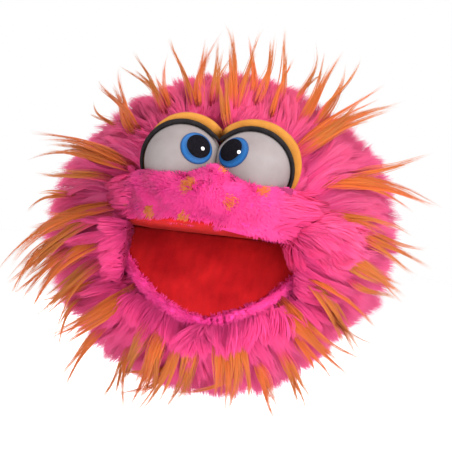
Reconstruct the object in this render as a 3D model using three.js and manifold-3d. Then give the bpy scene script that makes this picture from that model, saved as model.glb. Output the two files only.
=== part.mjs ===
// Moving mouth hand puppet: a stuffed ball of long-pile fur with a wide mouth, two padded eyes and long
// contrasting tufts. A hand goes in through the hem at the back. Its fingers lift the upper mouth board
// in their pocket, and its thumb lowers the lower board. Both boards turn about the fold of the mouth.
//
// Millimetres. The origin is the centre of the hand opening's rim. +Z is up, the face looks along -Y,
// and +X is the puppet's own left.
import * as THREE from "three";
import { mergeVertices } from "three/addons/utils/BufferGeometryUtils.js";
import Module from "manifold-3d";

const wasm = await Module();
wasm.setup();

// ---- Driving dimensions -------------------------------------------------------------------------
const GAP = 0.3; // clearance between pieces that touch
const FAR = 260; // longer than anything, for cutting tools

// The fold of the mouth runs along X through y, z. Both mouth boards start there.
const MOUTH = { y: -100, z: 0, halfWidth: 51, depth: 60, straight: 12, upperTilt: 6, lowerTilt: -48 };
const FELT = 1.6;
const BOARD = 2;
const FOLD_RADIUS = 2.2;
const FOLD_CLEAR = 9; // the back padding starts this far behind the fold

// The ball: backing cloth as an ellipsoid, with the pile of the fur outside it.
const BALL = { x: 0, y: -88, z: 4 };
const CLOTH = { x: 73, y: 67, z: 73 };
const PILE = 28;

// Angles about the mouth's fold, in degrees: 0 is straight ahead, 90 up, 180 back and -90 down.
const CROWN_SEAM = 100; // rear edge of the upper part's coat
const BACK_TOP = 110; // the room above it lets the upper part tip back
const CHIN_SEAM = -104; // rear edge of the jaw's coat
const BACK_BOTTOM = 242; // the same place as -118: the room lets the jaw drop
const CHEEK = { from: -47, to: 5, inner: 55.5 };

// The hand opening and its lining.
const SLEEVE = { x: 46, z: 36, wall: 1.5, front: -74 };
const HEM = { width: 6, length: 8 };

// Pockets for the fingers and for the thumb, sewn to the backs of the boards.
const FINGER_POCKET = { width: 84, height: 21, depth: 46, wall: 1.4 };
const THUMB_POCKET = { width: 50, height: 23, depth: 44, wall: 1.4 };

// The muzzle: a long cushion across the face with a bridge between the eyes.
const MUZZLE = { y: -124, z: 19, rx: 58, ry: 42, rz: 19, plush: 5 };
const BRIDGE = { y: -139, z: 27, rx: 15, ry: 19, rz: 11 };
const FACE = { y: -112, z: 26, rx: 55, rz: 44 }; // the coat is cut away round the muzzle and the eyes

// The eyes: padded balls, each with a lid behind it and a black band on the lid's edge.
const EYE = { x: 20.4, y: -130, z: 39, radius: 20 };
const LID = { inner: 20.4, outer: 26, tip: 12, rear: 13 };
const LASH = { inner: 20.4, outer: 23.2, width: 2.6 };
const GAZE = { inward: 27, up: 16 };
const IRIS = { radius: 8.5, thick: 1.2 };
const PUPIL = { radius: 6.3, thick: 0.8 };
const GLINT = { radius: 1.2, thick: 0.4, down: 4, side: { left: 13, right: 4 } };

// Long tufts round the ball, each a tapered lock. clock is the angle seen from the front, from +X
// through up. forward turns it towards the face, drop bends its tip down, and length is what stands
// out of the pile. All but the lengths are in degrees or in shares of the length.
const TUFT_RADIUS = 5;
const TUFTS = {
  upper: [
    { clock: 24, forward: 20, length: 27, drop: -0.1 },
    { clock: 43, forward: 14, length: 27, drop: 0 },
    { clock: 65, forward: 11, length: 24, drop: 0 },
    { clock: 79, forward: 10, length: 23, drop: 0 },
    { clock: 92, forward: 10, length: 28, drop: 0 },
    { clock: 107, forward: 10, length: 25, drop: 0 },
    { clock: 121, forward: 11, length: 22, drop: 0 },
    { clock: 137, forward: 13, length: 22, drop: 0 },
    { clock: 162, forward: 20, length: 27, drop: 0 },
  ],
  back: [
    { clock: 10, forward: -3, length: 27, drop: 0.1 },
    { clock: 353, forward: -8, length: 24, drop: 0.3 },
    { clock: 178, forward: -3, length: 22, drop: 0.3 },
    { clock: 199, forward: -8, length: 27, drop: 0.3 },
    { clock: 45, forward: -42, length: 22, drop: 0.1 },
    { clock: 135, forward: -42, length: 22, drop: 0.1 },
    { clock: 90, forward: -34, length: 22, drop: 0 },
    { clock: 225, forward: -46, length: 20, drop: 0.3 },
    { clock: 315, forward: -46, length: 20, drop: 0.3 },
  ],
  jaw: [
    { clock: 212, forward: 24, length: 24, drop: 0.3 },
    { clock: 230, forward: 15, length: 28, drop: 0.1 },
    { clock: 249, forward: 12, length: 22, drop: 0.1 },
    { clock: 276, forward: 12, length: 12, drop: 0 },
    { clock: 296, forward: 12, length: 19, drop: 0.1 },
    { clock: 314, forward: 16, length: 20, drop: 0.2 },
    { clock: 331, forward: 24, length: 22, drop: 0.3 },
  ],
};

// ---- Materials ----------------------------------------------------------------------------------
function cloth(color, roughness = 0.95) {
  return new THREE.MeshStandardMaterial({ color, roughness, metalness: 0 });
}

const LONG_FUR = cloth(0xf2549b);
const SHORT_PLUSH = cloth(0xf65aa6);
const TUFT_FIBRE = cloth(0xe08a3c, 0.8);
const RED_PLUSH = cloth(0xc4161c);
const WADDING = cloth(0xf1efea);
const LINING = cloth(0xb02a62);
const ELASTIC = cloth(0x2a262b);
const EYE_FELT = cloth(0xdcd8da);
const LID_FELT = cloth(0xdc9a3a);
const LASH_FELT = cloth(0x1c191d);
const STIFF_BOARD = cloth(0x8d8f92, 0.6);
const IRIS_BLUE = cloth(0x1f6fb8, 0.3);
const PUPIL_BLACK = cloth(0x100e14, 0.15);
const GLINT_WHITE = cloth(0xffffff, 0.3);

// ---- Solids -------------------------------------------------------------------------------------
const radians = THREE.MathUtils.degToRad;

// A closed three.js geometry as a solid that can be joined and cut.
function solid(geometry, matrix) {
  const bare = new THREE.BufferGeometry().setAttribute("position", geometry.getAttribute("position"));
  if (geometry.index) bare.setIndex(geometry.index);
  const placed = matrix ? bare.clone().applyMatrix4(matrix) : bare;
  const merged = mergeVertices(placed, 1e-4);
  const vertProperties = new Float32Array(merged.getAttribute("position").array);
  const triVerts = new Uint32Array(merged.index.array);
  return new wasm.Manifold(new wasm.Mesh({ numProp: 3, vertProperties, triVerts }));
}

// A solid as a three.js geometry.
function geometryOf(made) {
  const mesh = made.getMesh();
  const geometry = new THREE.BufferGeometry();
  geometry.setAttribute("position", new THREE.BufferAttribute(mesh.vertProperties, mesh.numProp));
  geometry.setIndex(new THREE.BufferAttribute(mesh.triVerts, 1));
  geometry.computeVertexNormals();
  return geometry;
}

// The largest of a solid's separate bodies.
function largest(made) {
  return made.decompose().reduce((best, body) => (body.volume() > best.volume() ? body : best));
}

function ellipsoid(centre, rx, ry, rz, around = 32, along = 20) {
  const placed = new THREE.Matrix4()
    .makeTranslation(centre.x ?? 0, centre.y, centre.z)
    .multiply(new THREE.Matrix4().makeScale(rx, ry, rz));
  return solid(new THREE.SphereGeometry(1, around, along), placed);
}

function box(x0, x1, y0, y1, z0, z1) {
  const placed = new THREE.Matrix4().makeTranslation((x0 + x1) / 2, (y0 + y1) / 2, (z0 + z1) / 2);
  return solid(new THREE.BoxGeometry(x1 - x0, y1 - y0, z1 - z0), placed);
}

// A cylinder of elliptic section along Y, from y0 to y1.
function ovalBar(rx, rz, y0, y1, z = 0, around = 40) {
  const placed = new THREE.Matrix4()
    .makeTranslation(0, (y0 + y1) / 2, z)
    .multiply(new THREE.Matrix4().makeScale(rx, 1, rz));
  return solid(new THREE.CylinderGeometry(1, 1, y1 - y0, around), placed);
}

// Everything between two angles about the mouth's fold, as a slice along X.
function slice(fromDegrees, toDegrees) {
  const shape = new THREE.Shape();
  shape.moveTo(0, 0);
  shape.lineTo(FAR * Math.cos(radians(fromDegrees)), FAR * Math.sin(radians(fromDegrees)));
  shape.absarc(0, 0, FAR, radians(fromDegrees), radians(toDegrees), false);
  shape.closePath();
  const geometry = new THREE.ExtrudeGeometry(shape, { depth: FAR, bevelEnabled: false, curveSegments: 8 });
  const placed = new THREE.Matrix4()
    .makeBasis(new THREE.Vector3(0, -1, 0), new THREE.Vector3(0, 0, 1), new THREE.Vector3(-1, 0, 0))
    .setPosition(FAR / 2, MOUTH.y, MOUTH.z);
  return solid(geometry, placed);
}

// The frame of a mouth board: x across, y forward along the board, z away from the mouth.
function boardFrame(tilt, side) {
  const forward = new THREE.Vector3(0, -Math.cos(radians(tilt)), Math.sin(radians(tilt)));
  const across = new THREE.Vector3(-side, 0, 0);
  return new THREE.Matrix4()
    .makeBasis(across, forward, across.clone().cross(forward))
    .setPosition(0, MOUTH.y, MOUTH.z);
}

// The mouth's D-shaped outline, grown by extra, as a plate between two heights in a board's frame.
function mouthPlate(low, high, extra = 0, start = 1) {
  const shape = new THREE.Shape();
  shape.moveTo(-MOUTH.halfWidth - extra, start - extra);
  shape.lineTo(MOUTH.halfWidth + extra, start - extra);
  shape.absellipse(
    0, MOUTH.straight, MOUTH.halfWidth + extra, MOUTH.depth - MOUTH.straight + extra, 0, Math.PI, false,
  );
  shape.closePath();
  const options = { depth: high - low, bevelEnabled: false, curveSegments: 24 };
  return new THREE.ExtrudeGeometry(shape, options).translate(0, 0, low);
}

// ---- The stack of one mouth board: felt on the mouth's side, then the board, then the pocket ------
const STACK = { felt: 0.5, board: 0.5 + FELT + GAP, pocket: 0.5 + FELT + BOARD + 2 * GAP };

// A pocket open at the rear and towards the board it is sewn to.
function pocket(size) {
  const { width, height, depth, wall } = size;
  const bar = (w, y0, y1, z0, z1) => {
    const placed = new THREE.Matrix4().makeTranslation(0, (y0 + y1) / 2, (z0 + z1) / 2);
    return solid(new THREE.BoxGeometry(w, y1 - y0, z1 - z0), placed);
  };
  const low = STACK.pocket;
  const outside = bar(width, 3, depth, low, low + height);
  return outside.subtract(bar(width - 2 * wall, -1, depth - wall, low - 1, low + height - wall));
}

// The room that a board's stack takes from the padding and the coat round it.
function stackRoom(size, frame) {
  const plate = solid(mouthPlate(-2, STACK.pocket, GAP), frame);
  const { width, height, depth } = size;
  const middle = new THREE.Matrix4().makeTranslation(0, depth / 2 - 4, STACK.pocket + height / 2);
  const placed = new THREE.Matrix4().multiplyMatrices(frame, middle);
  const hand = new THREE.BoxGeometry(width + 2 * GAP, depth + 8 + 2 * GAP, height + 2 * GAP);
  return plate.add(solid(hand, placed));
}

const upperFrame = boardFrame(MOUTH.upperTilt, 1);
const lowerFrame = boardFrame(MOUTH.lowerTilt, -1);

// ---- The ball's coat and padding ----------------------------------------------------------------
const grown = (by) => ellipsoid(BALL, CLOTH.x + by, CLOTH.y + by, CLOTH.z + by);
const pile = grown(PILE).subtract(grown(0));
const stuffing = grown(-GAP);
const faceRoom = ovalBar(FACE.rx, FACE.rz, -FAR, FACE.y, FACE.z);
const leftHalf = box(GAP / 2, FAR, -FAR, FAR, -FAR, FAR);
const rightHalf = box(-FAR, -GAP / 2, -FAR, FAR, -FAR, FAR);

function muzzleShape(by) {
  const cushion = ellipsoid(MUZZLE, MUZZLE.rx + by, MUZZLE.ry + by, MUZZLE.rz + by, 28, 14);
  return cushion.add(ellipsoid(BRIDGE, BRIDGE.rx + by, BRIDGE.ry + by, BRIDGE.rz + by, 16, 10));
}

function eyeCentre(side) {
  return { x: side * EYE.x, y: EYE.y, z: EYE.z };
}

// The room for one eye and its lid, a little larger so that its facets stay clear of the lid.
function eyeHole(side) {
  const radius = LID.outer + 1.4;
  return ellipsoid(eyeCentre(side), radius, radius, radius, 20, 12);
}

const eyeRoom = eyeHole(-1).add(eyeHole(1));
const upperSlice = slice(MOUTH.upperTilt, CROWN_SEAM);
const lowerSlice = slice(CHIN_SEAM, MOUTH.lowerTilt);
const backSlice = slice(BACK_TOP, BACK_BOTTOM);
const upperRoom = stackRoom(FINGER_POCKET, upperFrame);
const lowerRoom = stackRoom(THUMB_POCKET, lowerFrame);

function crownCoat() {
  return pile.intersect(upperSlice).subtract(faceRoom).subtract(eyeRoom).subtract(upperRoom);
}

function muzzleCoat() {
  const front = ovalBar(FACE.rx - GAP, FACE.rz - GAP, -FAR, FACE.y - GAP, FACE.z);
  const skin = muzzleShape(0).subtract(muzzleShape(-MUZZLE.plush));
  return largest(skin.intersect(upperSlice).intersect(front).subtract(upperRoom));
}

function muzzlePadding() {
  const inside = muzzleShape(-MUZZLE.plush - GAP).intersect(slice(MOUTH.upperTilt + 2, CROWN_SEAM));
  return largest(inside.subtract(upperRoom));
}

function crownPadding() {
  const inside = stuffing.intersect(slice(MOUTH.upperTilt + 2, CROWN_SEAM - 2));
  return inside.subtract(muzzleShape(GAP)).subtract(eyeRoom).subtract(upperRoom);
}

function jawCoat() {
  return pile.intersect(lowerSlice).subtract(lowerRoom);
}

function jawPadding() {
  return stuffing.intersect(slice(CHIN_SEAM + 2, MOUTH.lowerTilt - 2)).subtract(lowerRoom);
}

function cheek(side) {
  const outer = side > 0 ? [CHEEK.inner, FAR] : [-FAR, -CHEEK.inner];
  const outside = box(...outer, -FAR, FAR, -FAR, FAR);
  return pile.intersect(slice(CHEEK.from, CHEEK.to)).intersect(outside);
}

const hemRoom = ovalBar(SLEEVE.x + HEM.width + 1, SLEEVE.z + HEM.width + 1, -FAR, FAR);

function backCoat(half) {
  return pile.intersect(backSlice).intersect(half).subtract(hemRoom);
}

function backPadding() {
  const room = ovalBar(SLEEVE.x + SLEEVE.wall + GAP, SLEEVE.z + SLEEVE.wall + GAP, -FAR, FAR);
  const hem = ovalBar(SLEEVE.x + HEM.width + 1, SLEEVE.z + HEM.width + 1, -HEM.length - 1, FAR);
  const behindFold = box(-FAR, FAR, MOUTH.y + FOLD_CLEAR, FAR, -FAR, FAR);
  const inside = stuffing.intersect(slice(BACK_TOP + 2, BACK_BOTTOM - 2)).intersect(behindFold);
  return inside.subtract(room).subtract(hem);
}

function sleeve() {
  const outer = ovalBar(SLEEVE.x + SLEEVE.wall, SLEEVE.z + SLEEVE.wall, SLEEVE.front, -HEM.length - GAP);
  return outer.subtract(ovalBar(SLEEVE.x, SLEEVE.z, -FAR, FAR));
}

function hem() {
  const outer = ovalBar(SLEEVE.x + HEM.width, SLEEVE.z + HEM.width, -HEM.length, 0);
  return outer.subtract(ovalBar(SLEEVE.x, SLEEVE.z, -FAR, FAR));
}

function mouthFold() {
  const length = 2 * MOUTH.halfWidth - 4;
  return new THREE.CylinderGeometry(FOLD_RADIUS, FOLD_RADIUS, length, 16)
    .rotateZ(Math.PI / 2)
    .translate(0, MOUTH.y + FOLD_RADIUS + 1.5, MOUTH.z);
}

// ---- The eyes -----------------------------------------------------------------------------------
function eyeBall(side) {
  const { radius } = EYE;
  return ellipsoid(eyeCentre(side), radius, radius, radius, 28, 16).subtract(muzzleShape(GAP));
}

// A shell of a sphere behind a tilted plane, cut at the middle of the face.
function lid(side) {
  const centre = eyeCentre(side);
  const shell = ellipsoid(centre, LID.outer, LID.outer, LID.outer, 28, 16)
    .subtract(ellipsoid(centre, LID.inner, LID.inner, LID.inner, 28, 16));
  const tilted = new THREE.Matrix4()
    .makeTranslation(centre.x, centre.y, centre.z)
    .multiply(new THREE.Matrix4().makeRotationX(radians(LID.tip)));
  const behind = new THREE.Matrix4().makeTranslation(0, LID.rear / 2, 0);
  const keep = solid(new THREE.BoxGeometry(FAR, LID.rear, FAR), tilted.clone().multiply(behind));
  return shell.intersect(keep).intersect(side > 0 ? leftHalf : rightHalf).subtract(muzzleShape(GAP));
}

function lash(side) {
  const centre = eyeCentre(side);
  const band = (radius, width) =>
    solid(
      new THREE.CylinderGeometry(radius, radius, width, 48),
      new THREE.Matrix4()
        .makeTranslation(centre.x, centre.y, centre.z)
        .multiply(new THREE.Matrix4().makeRotationX(radians(LID.tip)))
        .multiply(new THREE.Matrix4().makeTranslation(0, -LASH.width / 2 - GAP, 0)),
    );
  const ring = band(LASH.outer, LASH.width).subtract(band(LASH.inner, 2 * LASH.width));
  return ring.intersect(side > 0 ? leftHalf : rightHalf).subtract(muzzleShape(GAP));
}

// A round cap that follows a ball of the given radius, its edge at edge from the axis, along +Y.
function cap(radius, thick, edge) {
  const steps = 4;
  const arc = (r) => {
    const widest = Math.asin(edge / r);
    return Array.from({ length: steps + 1 }, (_, i) => {
      const turn = (widest * i) / steps;
      return new THREE.Vector2(r * Math.sin(turn), r * Math.cos(turn));
    });
  };
  const profile = [...arc(radius), ...arc(radius + thick).reverse()];
  return new THREE.LatheGeometry(profile, 24);
}

// ---- Tufts --------------------------------------------------------------------------------------
// A tapered lock that stands on the outside of the pile and bends down towards its tip.
function tuft({ clock, forward, length, drop }) {
  const reach = Math.cos(radians(forward));
  const direction = new THREE.Vector3(
    Math.cos(radians(clock)) * reach,
    -Math.sin(radians(forward)),
    Math.sin(radians(clock)) * reach,
  );
  const outer = new THREE.Vector3(CLOTH.x + PILE, CLOTH.y + PILE, CLOTH.z + PILE);
  const distance = 1 / direction.clone().divide(outer).length();
  const base = direction.clone().multiplyScalar(distance);
  const normal = base.clone().divide(outer).divide(outer).normalize();
  const geometry = new THREE.ConeGeometry(TUFT_RADIUS, length, 8, 4);
  geometry.translate(0, length / 2, 0);
  geometry.applyQuaternion(new THREE.Quaternion().setFromUnitVectors(new THREE.Vector3(0, 1, 0), normal));
  const points = geometry.getAttribute("position");
  for (let i = 0; i < points.count; i++) {
    const point = new THREE.Vector3().fromBufferAttribute(points, i);
    const along = Math.max(0, point.dot(normal) / length);
    points.setZ(i, point.z - drop * length * along * along);
  }
  const start = base.add(new THREE.Vector3(BALL.x, BALL.y, BALL.z)).addScaledVector(normal, 0.6);
  return geometry.translate(start.x, start.y, start.z);
}

// ---- The assembly -------------------------------------------------------------------------------
const puppet = new THREE.Group();
const back = new THREE.Group();
const upper = new THREE.Group();
const jaw = new THREE.Group();
puppet.add(back, upper, jaw);

function add(group, name, shape, material) {
  const mesh = new THREE.Mesh(shape instanceof THREE.BufferGeometry ? shape : geometryOf(shape), material);
  mesh.name = name;
  group.add(mesh);
  return mesh;
}

// The part round the wrist, which the two mouth parts move against.
add(back, "back_coat_left", backCoat(leftHalf), LONG_FUR);
add(back, "back_coat_right", backCoat(rightHalf), LONG_FUR);
add(back, "cheek_left", cheek(1), LONG_FUR);
add(back, "cheek_right", cheek(-1), LONG_FUR);
add(back, "back_padding", backPadding(), WADDING);
add(back, "sleeve_lining", sleeve(), LINING);
add(back, "hem_ring", hem(), ELASTIC);
add(back, "mouth_fold", mouthFold(), RED_PLUSH);

// Each mouth board carries its felt and its pocket in its own frame.
function mouthBoard(group, frame, names, size) {
  const stack = new THREE.Group();
  stack.applyMatrix4(frame);
  group.add(stack);
  add(stack, names.felt, mouthPlate(STACK.felt, STACK.felt + FELT), RED_PLUSH);
  add(stack, names.board, mouthPlate(STACK.board, STACK.board + BOARD), STIFF_BOARD);
  add(stack, names.pocket, pocket(size), LINING);
}

const PALATE = { felt: "palate_felt", board: "palate_board", pocket: "finger_pocket" };
const TONGUE = { felt: "tongue_felt", board: "tongue_board", pocket: "thumb_pocket" };
mouthBoard(upper, upperFrame, PALATE, FINGER_POCKET);
mouthBoard(jaw, lowerFrame, TONGUE, THUMB_POCKET);

add(upper, "crown_coat", crownCoat(), LONG_FUR);
add(upper, "crown_padding", crownPadding(), WADDING);
add(upper, "muzzle_coat", muzzleCoat(), SHORT_PLUSH);
add(upper, "muzzle_padding", muzzlePadding(), WADDING);
add(jaw, "jaw_coat", jawCoat(), LONG_FUR);
add(jaw, "jaw_padding", jawPadding(), WADDING);

for (const [side, name] of [[1, "left"], [-1, "right"]]) {
  add(upper, `eye_ball_${name}`, eyeBall(side), EYE_FELT);
  add(upper, `eye_lid_${name}`, lid(side), LID_FELT);
  add(upper, `eye_lash_${name}`, lash(side), LASH_FELT);
  const gaze = new THREE.Group();
  gaze.position.set(side * EYE.x, EYE.y, EYE.z);
  gaze.rotation.set(radians(180 - GAZE.up), 0, side * radians(-GAZE.inward), "ZXY");
  upper.add(gaze);
  const irisBase = EYE.radius + GAP;
  const pupilBase = irisBase + IRIS.thick + GAP;
  const glintBase = pupilBase + PUPIL.thick + GAP;
  add(gaze, `iris_${name}`, cap(irisBase, IRIS.thick, IRIS.radius), IRIS_BLUE);
  add(gaze, `pupil_${name}`, cap(pupilBase, PUPIL.thick, PUPIL.radius), PUPIL_BLACK);
  const glint = add(gaze, `glint_${name}`, cap(glintBase, GLINT.thick, GLINT.radius), GLINT_WHITE);
  glint.rotation.set(radians(GLINT.down), 0, radians(-GLINT.side[name]));
}

for (const [group, part, list] of [
  [upper, "crown", TUFTS.upper],
  [back, "side", TUFTS.back],
  [jaw, "chin", TUFTS.jaw],
]) {
  list.forEach((shape, i) => add(group, `tuft_${part}_${i + 1}`, tuft(shape), TUFT_FIBRE));
}

export default puppet;
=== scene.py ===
"""Looks of a moving mouth hand puppet: a ball of long pink fur with orange locks, padded eyes and a red
mouth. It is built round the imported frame. Sizes are in millimetres until a mesh is made."""

import math

import bpy
import numpy as np
from mathutils import Matrix, Vector, kdtree


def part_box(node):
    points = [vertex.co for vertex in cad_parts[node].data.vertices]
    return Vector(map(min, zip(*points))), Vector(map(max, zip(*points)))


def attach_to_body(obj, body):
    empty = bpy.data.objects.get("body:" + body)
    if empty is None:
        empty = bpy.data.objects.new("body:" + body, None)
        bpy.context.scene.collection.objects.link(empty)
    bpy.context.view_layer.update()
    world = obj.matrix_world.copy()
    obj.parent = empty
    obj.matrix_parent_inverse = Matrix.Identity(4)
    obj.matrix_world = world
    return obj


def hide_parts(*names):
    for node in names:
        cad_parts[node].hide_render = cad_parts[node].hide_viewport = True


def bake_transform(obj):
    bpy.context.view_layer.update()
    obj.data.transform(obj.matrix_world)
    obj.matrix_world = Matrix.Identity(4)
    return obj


MM = 0.001

# The ball's cloth, without its pile, and the fold of the mouth. Angles about the fold are in degrees:
# 0 is straight ahead, 90 up and -90 down.
BALL = np.array([0.0, -88.0, 4.0])
SKIN = np.array([73.0, 67.0, 73.0])
FOLD_Y = -100.0
UPPER_TILT = 6.0
LOWER_TILT = -48.0

# The mouth's D-shaped outline: half its width, its depth, how far its sides run straight, and how much
# the tongue's front is drawn in.
MOUTH_HALF = 51.0
MOUTH_DEPTH = 60.0
MOUTH_STRAIGHT = 9
TONGUE_POINT = 1.3

# The middle of the open mouth, in metres.
MOUTH_MIDDLE = (0.0, -0.14, -0.012)

# Where the coat changes from one body to the next, as angles about the fold.
CROWN_END = 70.0
BACK_TOP = 138.0
BACK_BOTTOM = -150.0
CHIN_END = -64.0
CHEEK_SPLIT = -14.0
CHEEK_X = 50.0

# How deep the ball's front lies behind the eyes and the muzzle, and the half axes of the hand's hole.
FACE_BACK = -118.0
HEM = {"x": 53.0, "z": 43.0}

# The eyes. A lid is a shell round the ball, tipped forward, and thinner at its inner corner. The eyes
# look inward and up by some degrees. A pupil and a glint are turned (down, aside) from the iris.
EYE = {"x": 19.0, "y": -130.0, "z": 38.6, "radius": 21.6}
EYE_SHIFT = -1.5
LID = {"inner": 21.8, "thin": 24.3, "outer": 27.5, "tip": 12.0, "depth": 13.0}
GAZE_UP = 22.5
GAZE_INWARD = {"left": 29.5, "right": 27.5}
IRIS_RADIUS = 8.9
PUPIL_RADIUS = 6.55
PUPIL_TURN = {"right": (-2.0, 2.4), "left": (-2.2, -3.6)}
# The glint is a painted highlight: a white disc where a light's reflection falls.
GLINT_RADIUS = 0.78
GLINT_TURN = {"right": (2.1, 6.9), "left": (1.1, 12.6)}

# The muzzle's two balls, as centres and radii.
MUZZLE = ((0, -124.0, 19.0), (52.0, 40.5, 17.5))
BRIDGE = ((0, -139.0, 27.0), (15.0, 18.0, 10.5))

# How many fibres the coat and the muzzle's plush are started with, before the bare places are left out.
STRANDS = 132000
FUZZ = 52000

# How wide a fibre is from its root to its tip, as a share of its width, in the pile and in the plush.
PILE_TAPER = np.array([0.8, 1.0, 0.9, 0.6, 0.0])
PLUSH_TAPER = np.array([1.0, 0.85, 0.0])


# ---- Small helpers ------------------------------------------------------------------------------
def unit(v):
    """v with each row at length 1."""
    return v / np.maximum(np.linalg.norm(v, axis=-1, keepdims=True), 1e-9)


def smooth_step(x, low, high):
    """0 below low, 1 above high, and a smooth ramp between."""
    t = np.clip((x - low) / (high - low), 0.0, 1.0)
    return t * t * (3 - 2 * t)


def ripple(p, scale, seed):
    """A smooth noise from about -1 to 1 at points p, made of a few waves. scale is its grain in mm."""
    rng = np.random.default_rng(seed)
    total = np.zeros(len(p))
    for _ in range(6):
        wave = rng.normal(size=3) * (2 * math.pi / scale) * 0.6
        total += np.sin(p @ wave + rng.uniform(0, 2 * math.pi))
    return total / 2.6


def grain_of(p, scale, seed):
    """A smooth sideways noise at points p."""
    return np.stack([ripple(p, scale, seed + i) for i in range(3)], axis=1)


def fold_angle(p):
    """The angle about the mouth's fold of each point."""
    return np.degrees(np.arctan2(p[:, 2], FOLD_Y - p[:, 1]))


def turn_x(degrees):
    """A rotation matrix about X."""
    return np.array(Matrix.Rotation(math.radians(degrees), 3, "X"))


def linked(name, data):
    """An object of the scene with this data."""
    obj = bpy.data.objects.new(name, data)
    bpy.context.scene.collection.objects.link(obj)
    return obj


def new_object(name, verts, faces, material):
    """A smooth mesh object from millimetres."""
    mesh = bpy.data.meshes.new(name)
    mesh.from_pydata((np.asarray(verts) * MM).tolist(), [], [list(f) for f in faces])
    mesh.polygons.foreach_set("use_smooth", [True] * len(mesh.polygons))
    mesh.materials.append(material)
    mesh.update()
    return linked(name, mesh)


def settle(obj, slot, body, *nodes):
    """Hides the CAD nodes that a piece stands for and ties it to its body. slot is not used."""
    if nodes:
        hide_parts(*nodes)
    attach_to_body(obj, body)


def grid_faces(rows, columns, wrap=False):
    """Quads of a grid of vertices numbered row by row. wrap joins the last column to the first."""
    last = columns if wrap else columns - 1
    faces = []
    for r in range(rows - 1):
        for c in range(last):
            d = (c + 1) % columns
            faces.append((r * columns + c, r * columns + d, (r + 1) * columns + d, (r + 1) * columns + c))
    return faces


def capped_faces(rows, columns):
    """The faces of a closed tube of rings, numbered ring by ring, with both of its ends."""
    last = (rows - 1) * columns
    ends = [list(range(columns))[::-1], [last + c for c in range(columns)]]
    return grid_faces(rows, columns, wrap=True) + ends


# ---- Materials ----------------------------------------------------------------------------------
class Shader:
    """A material with a Principled shader, and short ways to add nodes to it."""

    def __init__(self, name, roughness, sheen=0.0, sheen_tint=(1, 1, 1), specular=0.5):
        self.material = bpy.data.materials.new(name)
        self.material.use_nodes = True
        self.tree = self.material.node_tree
        self.main = self.tree.nodes["Principled BSDF"]
        self.main.inputs["Roughness"].default_value = roughness
        self.main.inputs["Sheen Weight"].default_value = sheen
        self.main.inputs["Sheen Roughness"].default_value = 0.45
        self.main.inputs["Sheen Tint"].default_value = (*sheen_tint, 1)
        self.main.inputs["Specular IOR Level"].default_value = specular
        self.place = self.add("ShaderNodeTexCoord").outputs["Object"]

    def add(self, kind, **values):
        """A node whose named properties or inputs are set."""
        node = self.tree.nodes.new(kind)
        for key, value in values.items():
            if hasattr(node, key):
                setattr(node, key, value)
            else:
                node.inputs[key.replace("_", " ")].default_value = value
        return node

    def link(self, source, target):
        """Joins two sockets."""
        self.tree.links.new(source, target)

    def noise(self, scale, detail=2.0, stretch=None):
        """A noise over the object, as a factor."""
        node = self.add("ShaderNodeTexNoise", Scale=scale, Detail=detail)
        if stretch is None:
            self.link(self.place, node.inputs["Vector"])
        else:
            mapping = self.add("ShaderNodeMapping", Scale=stretch)
            self.link(self.place, mapping.inputs["Vector"])
            self.link(mapping.outputs[0], node.inputs["Vector"])
        return node.outputs["Fac"]

    def attribute(self, name):
        """A number stored on the mesh."""
        node = self.add("ShaderNodeAttribute")
        node.attribute_name = name
        return node.outputs["Fac"]

    def ramp(self, factor, stops):
        """A colour ramp. stops are (position, colour)."""
        node = self.add("ShaderNodeValToRGB")
        elements = node.color_ramp.elements
        while len(elements) < len(stops):
            elements.new(0.5)
        for element, (position, colour) in zip(elements, stops):
            element.position = position
            element.color = (*colour, 1)
        self.link(factor, node.inputs["Fac"])
        return node.outputs["Color"]

    def greys(self, factor, *stops):
        """A ramp of greys. stops are (position, value)."""
        return self.ramp(factor, [(position, (value,) * 3) for position, value in stops])

    def spread(self, value, start, end, most):
        """A factor that grows from 0 to most as a value goes from start to end."""
        node = self.add("ShaderNodeMapRange", From_Min=start, From_Max=end, To_Max=most)
        self.link(value, node.inputs["Value"])
        return node.outputs["Result"]

    def mix(self, factor, a, b, blend="MIX"):
        """Mixes two colours, each a socket or a colour."""
        node = self.add("ShaderNodeMix", data_type="RGBA", blend_type=blend)
        for value, socket in ((factor, node.inputs[0]), (a, node.inputs[6]), (b, node.inputs[7])):
            if isinstance(value, bpy.types.NodeSocket):
                self.link(value, socket)
            elif isinstance(value, tuple):
                socket.default_value = (*value, 1)
            else:
                socket.default_value = value
        return node.outputs[2]

    def colour(self, socket):
        """Sets the surface's colour."""
        self.link(socket, self.main.inputs["Base Color"])
        return self

    def let_through(self, socket, share):
        """Lets a share of the light through to the other side, as thin fibres do."""
        behind = self.add("ShaderNodeBsdfTranslucent")
        self.link(socket, behind.inputs["Color"])
        both = self.add("ShaderNodeMixShader")
        both.inputs[0].default_value = share
        self.link(self.main.outputs[0], both.inputs[1])
        self.link(behind.outputs[0], both.inputs[2])
        self.link(both.outputs[0], self.tree.nodes["Material Output"].inputs["Surface"])
        return self

    def bump(self, height, strength, distance):
        """Raises the surface by a height, at most distance in metres."""
        node = self.add("ShaderNodeBump", Strength=strength, Distance=distance)
        self.link(height, node.inputs["Height"])
        self.link(node.outputs["Normal"], self.main.inputs["Normal"])
        return self


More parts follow.
